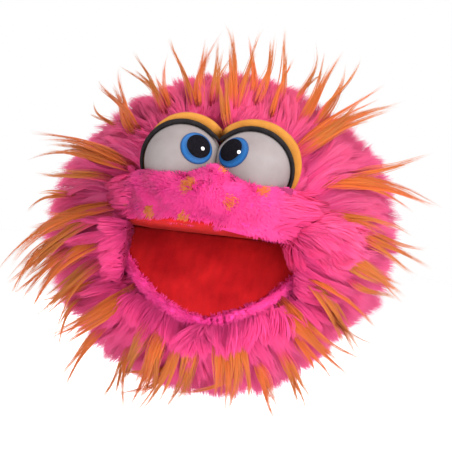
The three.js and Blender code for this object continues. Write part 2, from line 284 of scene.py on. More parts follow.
def fur_material(name, root, middle, tip, dull, bright, crown=None, mouth=None, base=None):
    """Fibres that run from a dark root to a light tip, the darker root being painted shade deep in the
    pile, with each lock a little duller or brighter.
    crown and mouth are colours that the coat leans to at the top of the ball and round the mouth, and
    base one that the fibres come out of."""
    shader = Shader(name, roughness=0.7, sheen=0.3, sheen_tint=tip, specular=0.2)
    colour = shader.ramp(shader.attribute("along"), [(0.0, root), (0.4, middle), (1.0, tip)])
    shade = shader.attribute("shade")
    colour = shader.mix(shader.greys(shade, (0.1, 0.8), (0.5, 0.0)), colour, dull)
    colour = shader.mix(shader.greys(shade, (0.5, 0.0), (0.95, 0.8)), colour, bright)
    if crown is not None:
        height = shader.add("ShaderNodeSeparateXYZ")
        shader.link(shader.place, height.inputs[0])
        colour = shader.mix(shader.spread(height.outputs["Z"], 0.045, 0.09, 0.5), colour, crown)
    if mouth is not None:
        away = shader.add("ShaderNodeVectorMath", operation="DISTANCE")
        away.inputs[1].default_value = MOUTH_MIDDLE
        shader.link(shader.place, away.inputs[0])
        colour = shader.mix(shader.spread(away.outputs["Value"], 0.092, 0.05, 0.75), colour, mouth)
    if base is not None:
        start = shader.add("ShaderNodeMath", operation="MULTIPLY_ADD")
        start.inputs[1].default_value = 0.4
        shader.link(shade, start.inputs[0])
        shader.link(shader.attribute("along"), start.inputs[2])
        colour = shader.mix(shader.greys(start.outputs[0], (0.26, 1.0), (0.46, 0.0)), colour, base)
    patch = shader.greys(shader.noise(28.0, 1.0), (0.35, 0.9), (0.65, 1.0))
    colour = shader.mix(1.0, colour, patch, "MULTIPLY")
    return shader.colour(colour).let_through(colour, 0.33).material


def cloth_material(name, low, high, scale, roughness=0.9, sheen=0.3, bump=0.0004, fine=900.0):
    """Cloth or felt with a mottled colour and a fine nap."""
    shader = Shader(name, roughness=roughness, sheen=sheen, sheen_tint=high, specular=0.25)
    shader.colour(shader.ramp(shader.noise(scale, 4.0), [(0.3, low), (0.7, high)]))
    return shader.bump(shader.noise(fine, 3.0), 0.5, bump).material


def velour_material():
    """Red velour. Its nap lies in patches, some lighter and some darker."""
    shader = Shader("red_velour", roughness=0.9, sheen=0.12, sheen_tint=(1.0, 0.2, 0.15), specular=0.12)
    reds = [(0.35, (0.42, 0.005, 0.010)), (0.68, (0.62, 0.014, 0.018))]
    patches = shader.ramp(shader.noise(38.0, 5.0), reds)
    streaks = shader.greys(shader.noise(260.0, 2.0, (1.0, 0.35, 0.35)), (0.3, 0.8), (0.7, 1.0))
    shader.colour(shader.mix(1.0, patches, streaks, "MULTIPLY"))
    return shader.bump(shader.noise(1100.0, 3.0), 0.6, 0.0004).material


def iris_material():
    """Blue, darker by the pupil and with a fine grain."""
    shader = Shader("iris_blue", roughness=0.5, specular=0.2)
    middle, half = (0.0, (0.003, 0.03, 0.10)), (0.7, (0.006, 0.07, 0.22))
    outer, edge = (0.9, (0.011, 0.115, 0.35)), (1.0, (0.006, 0.06, 0.2))
    ring = shader.ramp(shader.attribute("along"), [middle, half, outer, edge])
    grain = shader.greys(shader.noise(1500.0, 3.0), (0.3, 0.75), (0.7, 1.0))
    return shader.colour(shader.mix(1.0, ring, grain, "MULTIPLY")).material


def pupil_material():
    """Matt black felt."""
    shader = Shader("pupil_black", roughness=0.8, specular=0.03)
    blacks = [(0.3, (0.002,) * 3), (0.75, (0.012, 0.01, 0.016))]
    return shader.colour(shader.ramp(shader.noise(1800.0, 2.0), blacks)).material


def glint_material():
    """A white dot that stands for a light's reflection on the eye: a painted highlight."""
    shader = Shader("glint_white", roughness=0.4)
    return shader.colour(shader.greys(shader.noise(900.0), (0.2, 0.9), (0.8, 1.0))).material


# Each fur's root colour is darker than its tip: painted shade deep in the pile.
PINK = fur_material(
    "pink_pile",
    root=(0.82, 0.05, 0.22), middle=(0.94, 0.082, 0.275), tip=(0.98, 0.15, 0.37),
    dull=(0.72, 0.092, 0.25), bright=(0.99, 0.21, 0.44), crown=(0.98, 0.13, 0.24),
    mouth=(0.96, 0.062, 0.32),
)
# The plush's dull mauve serves both its random mottle and the painted shade on the muzzle's right side.
PLUSH = fur_material(
    "pink_plush",
    root=(0.90, 0.045, 0.31), middle=(0.95, 0.055, 0.34), tip=(0.98, 0.085, 0.39),
    dull=(0.55, 0.075, 0.19), bright=(1.0, 0.11, 0.43),
)
ORANGE = fur_material(
    "orange_locks",
    root=(0.78, 0.15, 0.03), middle=(0.82, 0.215, 0.04), tip=(0.78, 0.30, 0.115),
    dull=(0.62, 0.22, 0.05), bright=(0.90, 0.17, 0.05), base=(0.84, 0.06, 0.20),
)
BACKING = cloth_material("pink_backing", (0.55, 0.03, 0.18), (0.70, 0.05, 0.25), 60.0)
PLUSH_BACKING = cloth_material("plush_backing", (0.75, 0.035, 0.27), (0.9, 0.06, 0.36), 45.0)
VELOUR = velour_material()
EYE_KNIT = cloth_material(
    "eye_knit", (0.215, 0.178, 0.177), (0.31, 0.277, 0.28), 35.0,
    roughness=0.85, sheen=0.05, bump=0.0001, fine=1600.0,
)
LID_FELT = cloth_material(
    "lid_felt", (0.40, 0.15, 0.022), (0.54, 0.235, 0.04), 90.0, roughness=0.95, sheen=0.1, bump=0.0003
)
LASH_FELT = cloth_material(
    "lash_felt", (0.004, 0.003, 0.004), (0.016, 0.012, 0.014), 300.0, roughness=0.85, sheen=0.1, bump=0.0003
)
LINING = cloth_material(
    "lining", (0.28, 0.02, 0.10), (0.4, 0.035, 0.15), 120.0,
    roughness=0.8, sheen=0.1, bump=0.0002, fine=1500.0,
)
ELASTIC = cloth_material(
    "elastic", (0.01, 0.008, 0.01), (0.03, 0.024, 0.028), 400.0,
    roughness=0.8, sheen=0.1, bump=0.0003, fine=1200.0,
)
BOARD = cloth_material(
    "board", (0.24, 0.25, 0.26), (0.32, 0.33, 0.34), 200.0, roughness=0.6, sheen=0.0, bump=0.0001
)
IRIS = iris_material()
PUPIL = pupil_material()
GLINT_WHITE = glint_material()


# ---- Fibres -------------------------------------------------------------------------------------
def add_ribbons(name, lines, widths, across, shade, soft, material):
    """Flat fibres that taper to a point, as one object. lines is (n, k, 3), widths (n, k), across and
    soft (n, k, 3). soft is the direction that each point is shaded by, so that a lock looks round.
    Each vertex keeps how far along its fibre it is, and its fibre's shade."""
    n, k, _ = lines.shape
    along_line = np.gradient(lines, axis=1)
    facing = np.sum(np.cross(across, along_line) * soft, axis=(1, 2))
    across = across * np.where(facing < 0, -1, 1)[:, None, None]
    half = 0.5 * widths[:, :-1, None] * across[:, :-1]
    pairs = np.stack([lines[:, :-1] - half, lines[:, :-1] + half], axis=2).reshape(n, 2 * (k - 1), 3)
    verts = np.concatenate([pairs, lines[:, -1:]], axis=1)
    per = 2 * k - 1
    quads = [(2 * i, 2 * i + 1, 2 * i + 3, 2 * i + 2) for i in range(k - 2)]
    first = np.arange(n)[:, None, None] * per
    quads = (np.array(quads).reshape(1, -1, 4) + first).reshape(-1, 4)
    tips = (np.array([[[2 * k - 4, 2 * k - 3, 2 * k - 2]]]) + first).reshape(-1, 3)
    mesh = bpy.data.meshes.new(name)
    mesh.vertices.add(n * per)
    mesh.vertices.foreach_set("co", (verts * MM).astype(np.float32).ravel())
    corners = np.concatenate([quads.ravel(), tips.ravel()]).astype(np.int32)
    mesh.loops.add(len(corners))
    mesh.loops.foreach_set("vertex_index", corners)
    starts = np.concatenate([np.arange(len(quads)) * 4, 4 * len(quads) + np.arange(len(tips)) * 3])
    mesh.polygons.add(len(starts))
    mesh.polygons.foreach_set("loop_start", starts.astype(np.int32))
    mesh.polygons.foreach_set("use_smooth", np.ones(len(starts), bool))
    mesh.update(calc_edges=True)
    along = np.concatenate([np.repeat(np.arange(k - 1) / (k - 1), 2), [1.0]])
    for key, values in (("along", np.tile(along, n)), ("shade", np.repeat(shade, per))):
        mesh.attributes.new(key, "FLOAT", "POINT").data.foreach_set("value", values.astype(np.float32))
    shading = np.concatenate([np.repeat(soft[:, :-1], 2, axis=1), soft[:, -1:]], axis=1)
    mesh.normals_split_custom_set_from_vertices(unit(shading).reshape(-1, 3).astype(np.float32))
    mesh.materials.append(material)
    return linked(name, mesh)


def ribbon_sides(lines, normals, roll):
    """The direction across each fibre, square to it and facing along the normal, then rolled."""
    along = unit(np.gradient(lines, axis=1))
    flat = unit(np.cross(along, normals[:, None, :]))
    edge = np.cross(along, flat)
    return flat * np.cos(roll)[:, None, None] + edge * np.sin(roll)[:, None, None]


def even_directions(count):
    """Directions spread evenly over a sphere."""
    i = np.arange(count) + 0.5
    z = 1 - 2 * i / count
    ring = np.sqrt(1 - z * z)
    turn = i * math.pi * (3 - math.sqrt(5))
    return np.stack([ring * np.cos(turn), ring * np.sin(turn), z], axis=1)


def nearest(points, targets):
    """For each point, the number of its nearest target."""
    tree = kdtree.KDTree(len(targets))
    for i, target in enumerate(targets):
        tree.insert(target, i)
    tree.balance()
    return np.array([tree.find(p)[1] for p in points])


def cheek_swell(p):
    """How far the cloth bulges at each corner of the mouth. The left one hangs fuller."""
    height = np.where(p[:, 0] > 0, 10.0, 5.0)
    away = np.stack([(np.abs(p[:, 0]) - 58) / 15, (p[:, 1] + 132) / 24, (p[:, 2] - 1) / 13], axis=1)
    return height * np.exp(-np.sum(away * away, axis=1))


def skin_roots(count, seed):
    """Evenly spread points on the ball's cloth, with their normals and angles from the face's axis."""
    rng = np.random.default_rng(seed)
    direction = unit(even_directions(count) + rng.normal(size=(count, 3)) * 0.35 / math.sqrt(count))
    points = BALL + SKIN * direction
    normals = unit(direction / SKIN)
    swell = cheek_swell(points)[:, None]
    sag = np.stack([-0.45 * np.sign(points[:, 0]), 0 * points[:, 0], np.full(count, -0.45)], axis=1)
    points = points + (normals + sag) * swell
    return points, normals, np.degrees(np.arccos(np.clip(-direction[:, 1], -1, 1)))


def face_clearance(p):
    """How far each point is from the lids and the muzzle, seen from the front."""
    lids = np.hypot(np.abs(p[:, 0]) - EYE["x"], p[:, 2] - EYE["z"]) - 26
    muzzle = 20 * (np.hypot(p[:, 0] / 48, (p[:, 2] - 17) / 20) - 1)
    return np.minimum(lids, muzzle)


def sink_face(p, back=FACE_BACK, start=-2.0, end=9.0):
    """Points of the ball's front, pushed back behind the eyes and the muzzle."""
    sunk = np.maximum(p[:, 1], back)
    depth = sunk + (p[:, 1] - sunk) * smooth_step(face_clearance(p), start, end)
    return np.stack([p[:, 0], np.where(fold_angle(p) > 0, depth, p[:, 1]), p[:, 2]], axis=1)


def furry(p, polar):
    """Which points of the cloth carry long pile: not the mouth, the muzzle, the eyes or the hem."""
    angle = fold_angle(p)
    mouth = (angle > LOWER_TILT) & (angle < UPPER_TILT) & (np.abs(p[:, 0]) < CHEEK_X)
    face = (angle > 0) & (polar < 90) & (face_clearance(p) < -9)
    hem = ((p[:, 0] / HEM["x"]) ** 2 + (p[:, 2] / HEM["z"]) ** 2 < 1) & (polar > 90)
    return ~(mouth | face | hem)


# How long the pile is at each clock angle seen from the front: short on top, longest at the left cheek.
PILE_OUTLINE = (
    [0, 30, 45, 60, 90, 120, 140, 165, 200, 215, 240, 270, 300, 322, 342, 360],
    [1.0, 0.95, 0.78, 0.68, 0.62, 0.62, 0.68, 1.0, 1.15, 1.06, 0.95, 0.88, 0.84, 0.72, 0.92, 1.0],
)


def combed(points, normals, polar, seed):
    """A curved line for each point, from the cloth to the pile's tip, in 7 steps. The pile is combed
    away from the face and hangs a little."""
    rng = np.random.default_rng(seed)
    count = len(points)
    back = np.array([0.0, 1.0, 0.0])
    flow = unit(back - (normals @ back)[:, None] * normals)
    swirl = np.radians(22 * ripple(points, 55, seed) + rng.normal(0, 7, count))
    side = np.cross(normals, flow)
    flow = flow * np.cos(swirl)[:, None] + side * np.sin(swirl)[:, None]
    lean = np.radians(np.interp(polar, [0, 45, 70, 92, 130, 180], [60, 58, 46, 24, 26, 22]))
    lean = lean + np.radians(rng.normal(0, 5, count) + 6 * ripple(points, 26, seed + 1))
    length = np.interp(polar, [0, 40, 70, 95, 180], [25, 29, 33, 32, 30]) * rng.uniform(0.88, 1.1, count)
    clock = np.degrees(np.arctan2(points[:, 2] - BALL[2], points[:, 0])) % 360
    length = length * np.interp(clock, *PILE_OUTLINE)
    wave = np.stack([3 * ripple(points, 40, seed + 2), 3 * ripple(points, 35, seed + 3)], axis=1)
    steps = 7
    line = [points]
    for k in range(1, steps):
        t = (k - 0.5) / (steps - 1)
        angle = lean * (0.55 + 0.75 * t)
        heading = normals * np.cos(angle)[:, None] + flow * np.sin(angle)[:, None]
        heading = heading + side * (0.3 * np.sin(4.2 * t + wave[:, 0]))[:, None]
        heading = heading + normals * (0.14 * np.sin(5.0 * t + wave[:, 1]))[:, None]
        heading[:, 2] -= 0.26 * t
        line.append(line[-1] + unit(heading) * (length / (steps - 1))[:, None])
    return np.stack(line, axis=1)


def follow(guides, choice, roots, reach, clump, rng, steps):
    """Fibres that follow their nearest guide line and gather towards its tip, and the direction that
    each point is shaded by, which turns away from the lock's middle."""
    t = np.linspace(0, 1, steps)
    at = reach[:, None] * t[None, :] * (guides.shape[1] - 1)
    low = np.minimum(at.astype(int), guides.shape[1] - 2)
    part = (at - low)[..., None]
    chosen = choice[:, None]
    line = guides[chosen, low] * (1 - part) + guides[chosen, low + 1] * part
    apart = roots - guides[choice, 0]
    line = line + apart[:, None, :] * (1 - clump[:, None] * t**0.8)[..., None]
    stray = rng.normal(size=(len(roots), 3)) * 0.8
    line = line + stray[:, None, :] * (t**1.6)[None, :, None]
    return line, np.repeat((apart / 3.2)[:, None, :], steps, axis=1)


def gather(guides, spacing, share):
    """Guide lines drawn towards leaders, one in every spacing of them, so that small locks make large
    ones, and the number of each line's leader."""
    rng = np.random.default_rng(17)
    leaders = rng.choice(len(guides), max(1, len(guides) // spacing), replace=False)
    choice = leaders[nearest(guides[:, 0], guides[leaders, 0])]
    t = np.linspace(0, 1, guides.shape[1])
    apart = guides[choice] - guides
    limit = np.minimum(1, 9 / np.maximum(np.linalg.norm(apart, axis=2, keepdims=True), 1e-6))
    return guides + apart * limit * (share * t**1.2)[None, :, None], choice


def fibres(guides, normals, guide_shade, roots, polar, rng):
    """Fibres round guide lines, as (lines, soft directions, shades, widths)."""
    choice = nearest(roots, guides[:, 0])
    count = len(roots)
    reach = np.minimum(rng.beta(4, 1.6, count) * 0.45 + 0.62, 1.0)
    tight = np.interp(polar, [60, 92], [0.34, 0.28])
    clump = np.clip(rng.normal(0, 0.14, len(guides))[choice] + tight, 0.1, 0.9)
    stray = rng.uniform(size=count) < 0.07
    clump[stray] = 0.05
    lines, bulge = follow(guides, choice, roots, reach, clump, rng, 5)
    along = unit(np.gradient(lines, axis=1))
    soft = unit(normals[choice][:, None, :] + 0.2 * bulge + 0.3 * along)
    shade = guide_shade[choice] + 0.1 * rng.normal(size=count)
    width = np.where(stray, 0.26, 0.4) * rng.uniform(0.8, 1.25, count)
    return lines, soft, np.clip(shade, 0, 1), width


def guide_lines():
    """The lines that the pile's fibres follow, with their normals and the number of each one's leader."""
    roots, normals, polar = skin_roots(STRANDS // 32, 11)
    keep = furry(roots, polar)
    roots, normals, polar = sink_face(roots[keep]), normals[keep], polar[keep]
    guides, leader = gather(combed(roots, normals, polar, 11), 7, 0.45)
    return guides, normals, leader


def pile(guides, normals, leader):
    """The whole coat of pink pile."""
    rng = np.random.default_rng(11)
    roots = guides[:, 0]
    shade = 0.5 + 0.12 * rng.normal(size=len(guides)) + 0.12 * rng.normal(size=len(guides))[leader]
    shade = shade + 0.14 * ripple(roots, 40, 16)
    roots, _, polar = skin_roots(STRANDS, 12)
    keep = furry(roots, polar)
    keep &= rng.uniform(size=len(keep)) < np.interp(polar, [85, 120], [1.0, 0.45])
    roots, polar = roots[keep], polar[keep]
    lines, soft, shade, width = fibres(guides, normals, shade, sink_face(roots), polar, rng)
    return roots, (lines, soft, shade, width * np.interp(polar, [85, 120], [1.0, 1.8]))


def corner_pile():
    """The pile inside each corner of the mouth, combed outwards round the edge of the cheek."""
    seed = 51
    rng = np.random.default_rng(seed)
    made = []
    for side in (-1, 1):
        count = 5600
        turn = np.radians(rng.uniform(LOWER_TILT + 1, UPPER_TILT - 1, count))
        out = np.stack([0 * turn, -np.cos(turn), np.sin(turn)], axis=1)
        wall = side * (MOUTH_HALF - 4.0 + rng.uniform(0, 7.0, count))
        roots = np.stack([wall, np.full(count, FOLD_Y), 0 * turn], axis=1)
        roots = roots + out * (5 + 32 * np.sqrt(rng.uniform(0, 1, count)))[:, None]
        grain = grain_of(roots, 16, seed)
        outward = np.array([side, 0.0, 0.0])
        start = unit(0.8 * out + 0.35 * outward + 0.25 * grain + rng.normal(0, 0.1, out.shape))
        bend = unit(outward + np.array([0.0, 0.75, -0.1]) + 0.3 * grain)
        soft = unit(unit((roots - BALL) / SKIN**2) + 0.6 * out + 0.25 * grain)
        made.append(swept(roots, start, bend, soft, (11, 17), rng, seed + side))
    return made


def swept(roots, start, bend, soft, length, rng, seed, stretch=1.0):
    """Fibres that set out in one direction, bend over to another and gather into small locks, as
    (roots, fibres)."""
    count = len(roots)
    step = (stretch * rng.uniform(*length, count) / 4)[:, None]
    steps = [roots]
    for k in range(4):
        share = (k + 0.5) / 4
        steps.append(steps[-1] + unit(start * (1 - share) + bend * share) * step)
    lines = np.stack(steps, axis=1)
    leaders = rng.choice(count, count // 45, replace=False)
    leader = leaders[nearest(roots, roots[leaders])]
    lines = lines + (lines[leader] - lines) * (0.6 * np.linspace(0, 1, 5) ** 1.3)[None, :, None]
    apart = (roots - roots[leader]) / 3.5
    shade = 0.54 + 0.14 * ripple(roots, 15, seed) + rng.normal(0, 0.1, count)[leader]
    shade = shade + rng.normal(0, 0.05, count)
    soft = np.repeat(unit(soft + 0.3 * apart)[:, None, :], 5, axis=1)
    return roots, (lines, soft, np.clip(shade, 0, 1), rng.uniform(0.42, 0.62, count))


def cheek_tuft():
    """Fuller pile that hangs on a rounded swelling beside the left end of the muzzle, and hides it."""
    rng = np.random.default_rng(53)
    radii = np.array([14.0, 9.0, 9.5])
    direction = unit(rng.normal(size=(7000, 3)))
    direction[:, 1] = -np.abs(direction[:, 1])
    roots = np.array([58.0, -134.0, 5.0]) + radii * direction
    out = unit(direction / radii)
    grain = grain_of(roots, 12, 53)
    start = unit(0.7 * out + np.array([0.7, 0, 0]) + 0.35 * grain + rng.normal(0, 0.1, out.shape))
    bend = unit(np.array([0.9, 0.3, -0.4]) + 0.45 * grain)
    soft = unit(out + 0.3 * grain)
    tuft, (lines, soft, shade, width) = swept(roots, start, bend, soft, (10, 19), rng, 57)
    # The swelling's pile is raised by 0.12 towards the bright colour: painted light on the lit swelling.
    return tuft, (lines, soft, np.clip(shade + 0.12, 0, 1), width)


def rim_pile():
    """The pile that grows out over the lower board's rim."""

    def at(across, forward, up):
        return on_board(across, forward, up, LOWER_TILT, -1)

    rng = np.random.default_rng(61)
    count = 9000
    across, forward = mouth_rim(400, 3.2, TONGUE_POINT)
    pick = rng.integers(0, len(across), count)
    x, f = across[pick], forward[pick]
    out = unit(np.stack([x / MOUTH_HALF, (f - 14) / 42], axis=1))
    away = rng.uniform(0, 1, count) * (2.5 + 15 * smooth_step(np.abs(x), 26, 46))
    x, f = x + out[:, 0] * away, np.maximum(f + out[:, 1] * away, 1.0)
    roots, flat = at(x, f, rng.uniform(1.5, 6.5, count)), at(x, f, 0 * x)
    outward = unit(at(x + out[:, 0], f + out[:, 1], 0 * x) - flat)
    below = unit(at(x, f, 0 * x + 1) - flat)
    grain = grain_of(roots, 16, 61)
    start = unit(outward * 0.85 - below * 0.12 + 0.25 * grain + rng.normal(0, 0.08, outward.shape))
    bend = unit(outward * 0.45 + below * 0.95 + 0.45 * grain)
    return swept(roots, start, bend, unit(outward - 0.25 * below + 0.3 * grain), (13, 22), rng, 65)


# Each zone of the coat, as the angles about the fold that it lies between. The rest is the back.
ZONES = {
    "crown": (UPPER_TILT, CROWN_END),
    "nape": (CROWN_END, BACK_TOP),
    "throat": (BACK_BOTTOM, CHIN_END),
    "chin": (CHIN_END, LOWER_TILT),
    "cheek_upper": (CHEEK_SPLIT, UPPER_TILT),
    "cheek_lower": (LOWER_TILT, CHEEK_SPLIT),
}
# The zones that stretch between two bodies, with the distance from the fold at which each end is taken.
STRETCHED = {
    "nape": ("upper", "back", (CROWN_END, 85), (BACK_TOP, 85)),
    "throat": ("jaw", "back", (CHIN_END, 75), (BACK_BOTTOM, 85)),
    "cheek_upper": ("back", "upper", (CHEEK_SPLIT, 55), (UPPER_TILT, 55)),
    "cheek_lower": ("back", "jaw", (CHEEK_SPLIT, 55), (LOWER_TILT, 55)),
}


def zone_of(p):
    """The name of the coat's zone that each point belongs to."""
    angle = fold_angle(p)
    side = np.where(p[:, 0] > 0, "_left", "_right").astype(object)
    names = "back" + side
    for name, (low, high) in ZONES.items():
        at = (angle >= low) & (angle < high)
        names[at] = name + side[at] if name.startswith("cheek") else name
    return names


def attach(obj, zone):
    """Ties a piece of the coat to the body that its zone lies on. A piece of a zone that stretches between
    two bodies is tied to none and keeps its place.
    """
    kind = zone.removesuffix("_left").removesuffix("_right")
    if kind in STRETCHED:
        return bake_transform(obj)
    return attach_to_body(obj, {"crown": "upper", "chin": "jaw"}.get(kind, "back"))


def make_fur():
    """The pile, one object for each zone of the coat."""
    sources = [pile(*GUIDES), *corner_pile(), cheek_tuft(), rim_pile()]
    roots = np.concatenate([source[0] for source in sources])
    lines, soft, shade, width = (np.concatenate([source[1][i] for source in sources]) for i in range(4))
    rng = np.random.default_rng(3)
    across = ribbon_sides(lines, soft[:, 2], rng.normal(0, 0.5, len(lines)))
    zones = zone_of(roots)
    for zone in sorted(set(zones)):
        at = zones == zone
        widths = width[at, None] * PILE_TAPER
        obj = add_ribbons(f"fur_{zone}", lines[at], widths, across[at], shade[at], soft[at], PINK)
        attach(obj, zone)


# ---- The cloth under the pile -------------------------------------------------------------------
def skin_radius(x, degrees, grow):
    """The distance from the fold to the cloth, grown by some millimetres, at an angle about the fold."""
    size = SKIN + grow
    ahead, up = -math.cos(math.radians(degrees)), math.sin(math.radians(degrees))
    y0, z0 = FOLD_Y - BALL[1], -BALL[2]
    a = (ahead / size[1]) ** 2 + (up / size[2]) ** 2
    b = 2 * (y0 * ahead / size[1] ** 2 + z0 * up / size[2] ** 2)
    c = (y0 / size[1]) ** 2 + (z0 / size[2]) ** 2 + (x / size[0]) ** 2 - 1
    return (-b + np.sqrt(np.maximum(b * b - 4 * a * c, 0))) / (2 * a)


def fold_patch(low, high, grow, x_from, x_to, rows=None):
    """A patch of the ball's surface between two angles about the fold, as rows of points."""
    size = SKIN + grow
    end = size[0] * math.sqrt(1 - ((FOLD_Y - BALL[1]) / size[1]) ** 2 - (BALL[2] / size[2]) ** 2)
    x_low = -end if x_from is None else x_from
    x_high = end if x_to is None else x_to
    xs = x_low + (x_high - x_low) * (1 - np.cos(np.linspace(0, math.pi, 61))) / 2
    rows = rows or max(6, int(abs(high - low) / 2.5))
    points = []
    for degrees in np.linspace(low, high, rows):
        r = skin_radius(xs, degrees, grow)
        turn = math.radians(degrees)
        points.append(np.stack([xs, FOLD_Y - r * math.cos(turn), r * math.sin(turn)], axis=1))
    return np.array(points)


def coat_cloth(name, low, high, x_from=None, x_to=None, closed=True, board=None):
    """The cloth of one zone. A closed one is a wedge whose flat sides meet at the fold. board is the
    (tilt, side) of the mouth board that it lies behind, which it is kept clear of."""
    grid = fold_patch(low, high, 1.5, x_from, x_to)
    rows, columns, _ = grid.shape
    flat = grid.reshape(-1, 3)
    flat = flat + unit((flat - BALL) / SKIN**2) * (0.5 * cheek_swell(flat) + ripple(flat, 22, 4))[:, None]
    flat = sink_face(flat, -111.0, 3.0, 30.0)
    faces = grid_faces(rows, columns)
    if closed:
        axis = np.stack([grid[0, :, 0], np.full(columns, FOLD_Y), np.zeros(columns)], axis=1)
        start = len(flat)
        flat = np.concatenate([flat, axis])
        for c in range(columns - 1):
            faces.append((c + 1, c, start + c, start + c + 1))
            top = (rows - 1) * columns
            faces.append((top + c, top + c + 1, start + c + 1, start + c))
    if board is not None:
        tilt, side = board
        turn = math.radians(tilt)
        away = side * np.array([0.0, math.sin(turn), math.cos(turn)])
        height = (flat - np.array([0.0, FOLD_Y, 0.0])) @ away
        flat = flat + away * np.maximum(4.0 - height, 0)[:, None]
    return new_object(name, flat, faces, BACKING)


def back_cloth(name, side):
    """Half of the cloth behind the bend of the neck, with the hand's hole in it."""
    ends = (0.0, None) if side > 0 else (None, 0.0)
    grid = fold_patch(BACK_TOP, 360 + BACK_BOTTOM, 2.0, *ends, rows=46)
    rows, columns, _ = grid.shape
    flat = grid.reshape(-1, 3)
    flat = flat + unit((flat - BALL) / SKIN**2) * 1.2 * ripple(flat, 22, 4)[:, None]
    reach = np.sqrt((flat[:, 0] / HEM["x"]) ** 2 + (flat[:, 2] / HEM["z"]) ** 2)
    inside = (reach < 1) & (flat[:, 1] > BALL[1])
    faces = [f for f in grid_faces(rows, columns) if not all(inside[i] for i in f)]
    flat[inside, 0] /= np.maximum(reach[inside], 0.2)
    flat[inside, 2] /= np.maximum(reach[inside], 0.2)
    return new_object(name, flat, faces, BACKING)


def make_coat():
    """The cloth that carries the pile."""
    crown = coat_cloth("cloth_crown", UPPER_TILT, CROWN_END, board=(UPPER_TILT, 1))
    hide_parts("crown_coat", "crown_padding")
    chin = coat_cloth("cloth_chin", CHIN_END, LOWER_TILT, board=(LOWER_TILT, -1))
    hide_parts("jaw_coat", "jaw_padding")
    nape = coat_cloth("cloth_nape", CROWN_END, BACK_TOP, closed=False)
    throat = coat_cloth("cloth_throat", BACK_BOTTOM, CHIN_END, closed=False)
    backs = [back_cloth("cloth_back_left", 1), back_cloth("cloth_back_right", -1)]
    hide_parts("back_coat_left", "back_padding")
    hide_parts("back_coat_right")
    cheeks = []
    for name, x_from, x_to in (("left", MOUTH_HALF + 2, None), ("right", None, -MOUTH_HALF - 2)):
        upper = coat_cloth(f"cloth_cheek_upper_{name}", CHEEK_SPLIT, UPPER_TILT - 1, x_from, x_to)
        lower = coat_cloth(f"cloth_cheek_lower_{name}", LOWER_TILT + 1, CHEEK_SPLIT, x_from, x_to)
        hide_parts(f"cheek_{name}")
        cheeks += [(upper, f"cheek_upper_{name}"), (lower, f"cheek_lower_{name}")]
    pieces = [(crown, "crown"), (chin, "chin"), (nape, "nape"), (throat, "throat")]
    pieces += [(b, "back") for b in backs] + cheeks
    for obj, zone in pieces:
        attach(obj, zone)


# ---- The muzzle ---------------------------------------------------------------------------------
def palate_height(y):
    """The height of the upper mouth board's plane."""
    return (FOLD_Y - y) * math.tan(math.radians(UPPER_TILT))


def oval_ball(centre, radii):
    """A ball of three radii."""
    rows, columns = 40, 72
    polar = np.linspace(0.02, math.pi - 0.02, rows)[:, None]
    turn = (np.arange(columns) * 2 * math.pi / columns)[None, :]
    ring = np.sin(polar)
    ball = np.stack([ring * np.cos(turn), ring * np.sin(turn), np.cos(polar) + 0 * turn], axis=-1)
    return np.array(centre) + ball.reshape(-1, 3) * np.array(radii), capped_faces(rows, columns)


def mouth_rim(count, extra, point=1.0):
    """The mouth's D-shaped outline from one end of the fold to the other, as across and forward.
    A point above 1 draws the front in, as the tongue's is."""
    turn = np.linspace(0, math.pi, count)
    across = (MOUTH_HALF + extra) * np.sign(np.cos(turn)) * np.abs(np.cos(turn)) ** point
    forward = MOUTH_STRAIGHT + (MOUTH_DEPTH - MOUTH_STRAIGHT + extra) * np.abs(np.sin(turn)) ** point
    ends = np.linspace(0, MOUTH_STRAIGHT, 5)[:-1]
    across = np.concatenate([np.full(4, across[0]), across, np.full(4, across[-1])])
    forward = np.concatenate([ends, forward, ends[::-1]])
    return across, forward


def on_board(across, forward, up, tilt, side):
    """Points of a mouth board's own frame in the row frame. up is away from the mouth."""
    turn = math.radians(tilt)
    y = FOLD_Y - forward * math.cos(turn) + side * up * math.sin(turn)
    z = forward * math.sin(turn) + side * up * math.cos(turn)
    return np.stack([across, y, z], axis=-1)


def tube(line, radius, around=14):
    """A closed tube round a line of points."""
    along = unit(np.gradient(line, axis=0))
    out = unit(np.cross(along, np.array([1.0, 0.2, 0.4])))
    up = np.cross(along, out)
    turn = np.arange(around) * 2 * math.pi / around
    ring = out[:, None] * np.cos(turn)[None, :, None] + up[:, None] * np.sin(turn)[None, :, None]
    return (line[:, None] + ring * radius).reshape(-1, 3), capped_faces(len(line), around)


def joined(name, parts, material, voxel, smoothing):
    """Overlapping closed parts melted into one soft surface."""
    verts, faces = [], []
    for part_verts, part_faces in parts:
        start = sum(len(v) for v in verts)
        verts.append(part_verts)
        faces += [[start + i for i in f] for f in part_faces]
    obj = new_object(name, np.concatenate(verts), faces, material)
    melt = obj.modifiers.new("melt", "REMESH")
    melt.mode = "VOXEL"
    melt.voxel_size = voxel * MM
    soften = obj.modifiers.new("soften", "SMOOTH")
    soften.factor = 0.5
    soften.iterations = smoothing
    evaluated = obj.evaluated_get(bpy.context.evaluated_depsgraph_get())
    mesh = bpy.data.meshes.new_from_object(evaluated)
    obj.modifiers.clear()
    obj.data = mesh
    mesh.polygons.foreach_set("use_smooth", [True] * len(mesh.polygons))
    return obj


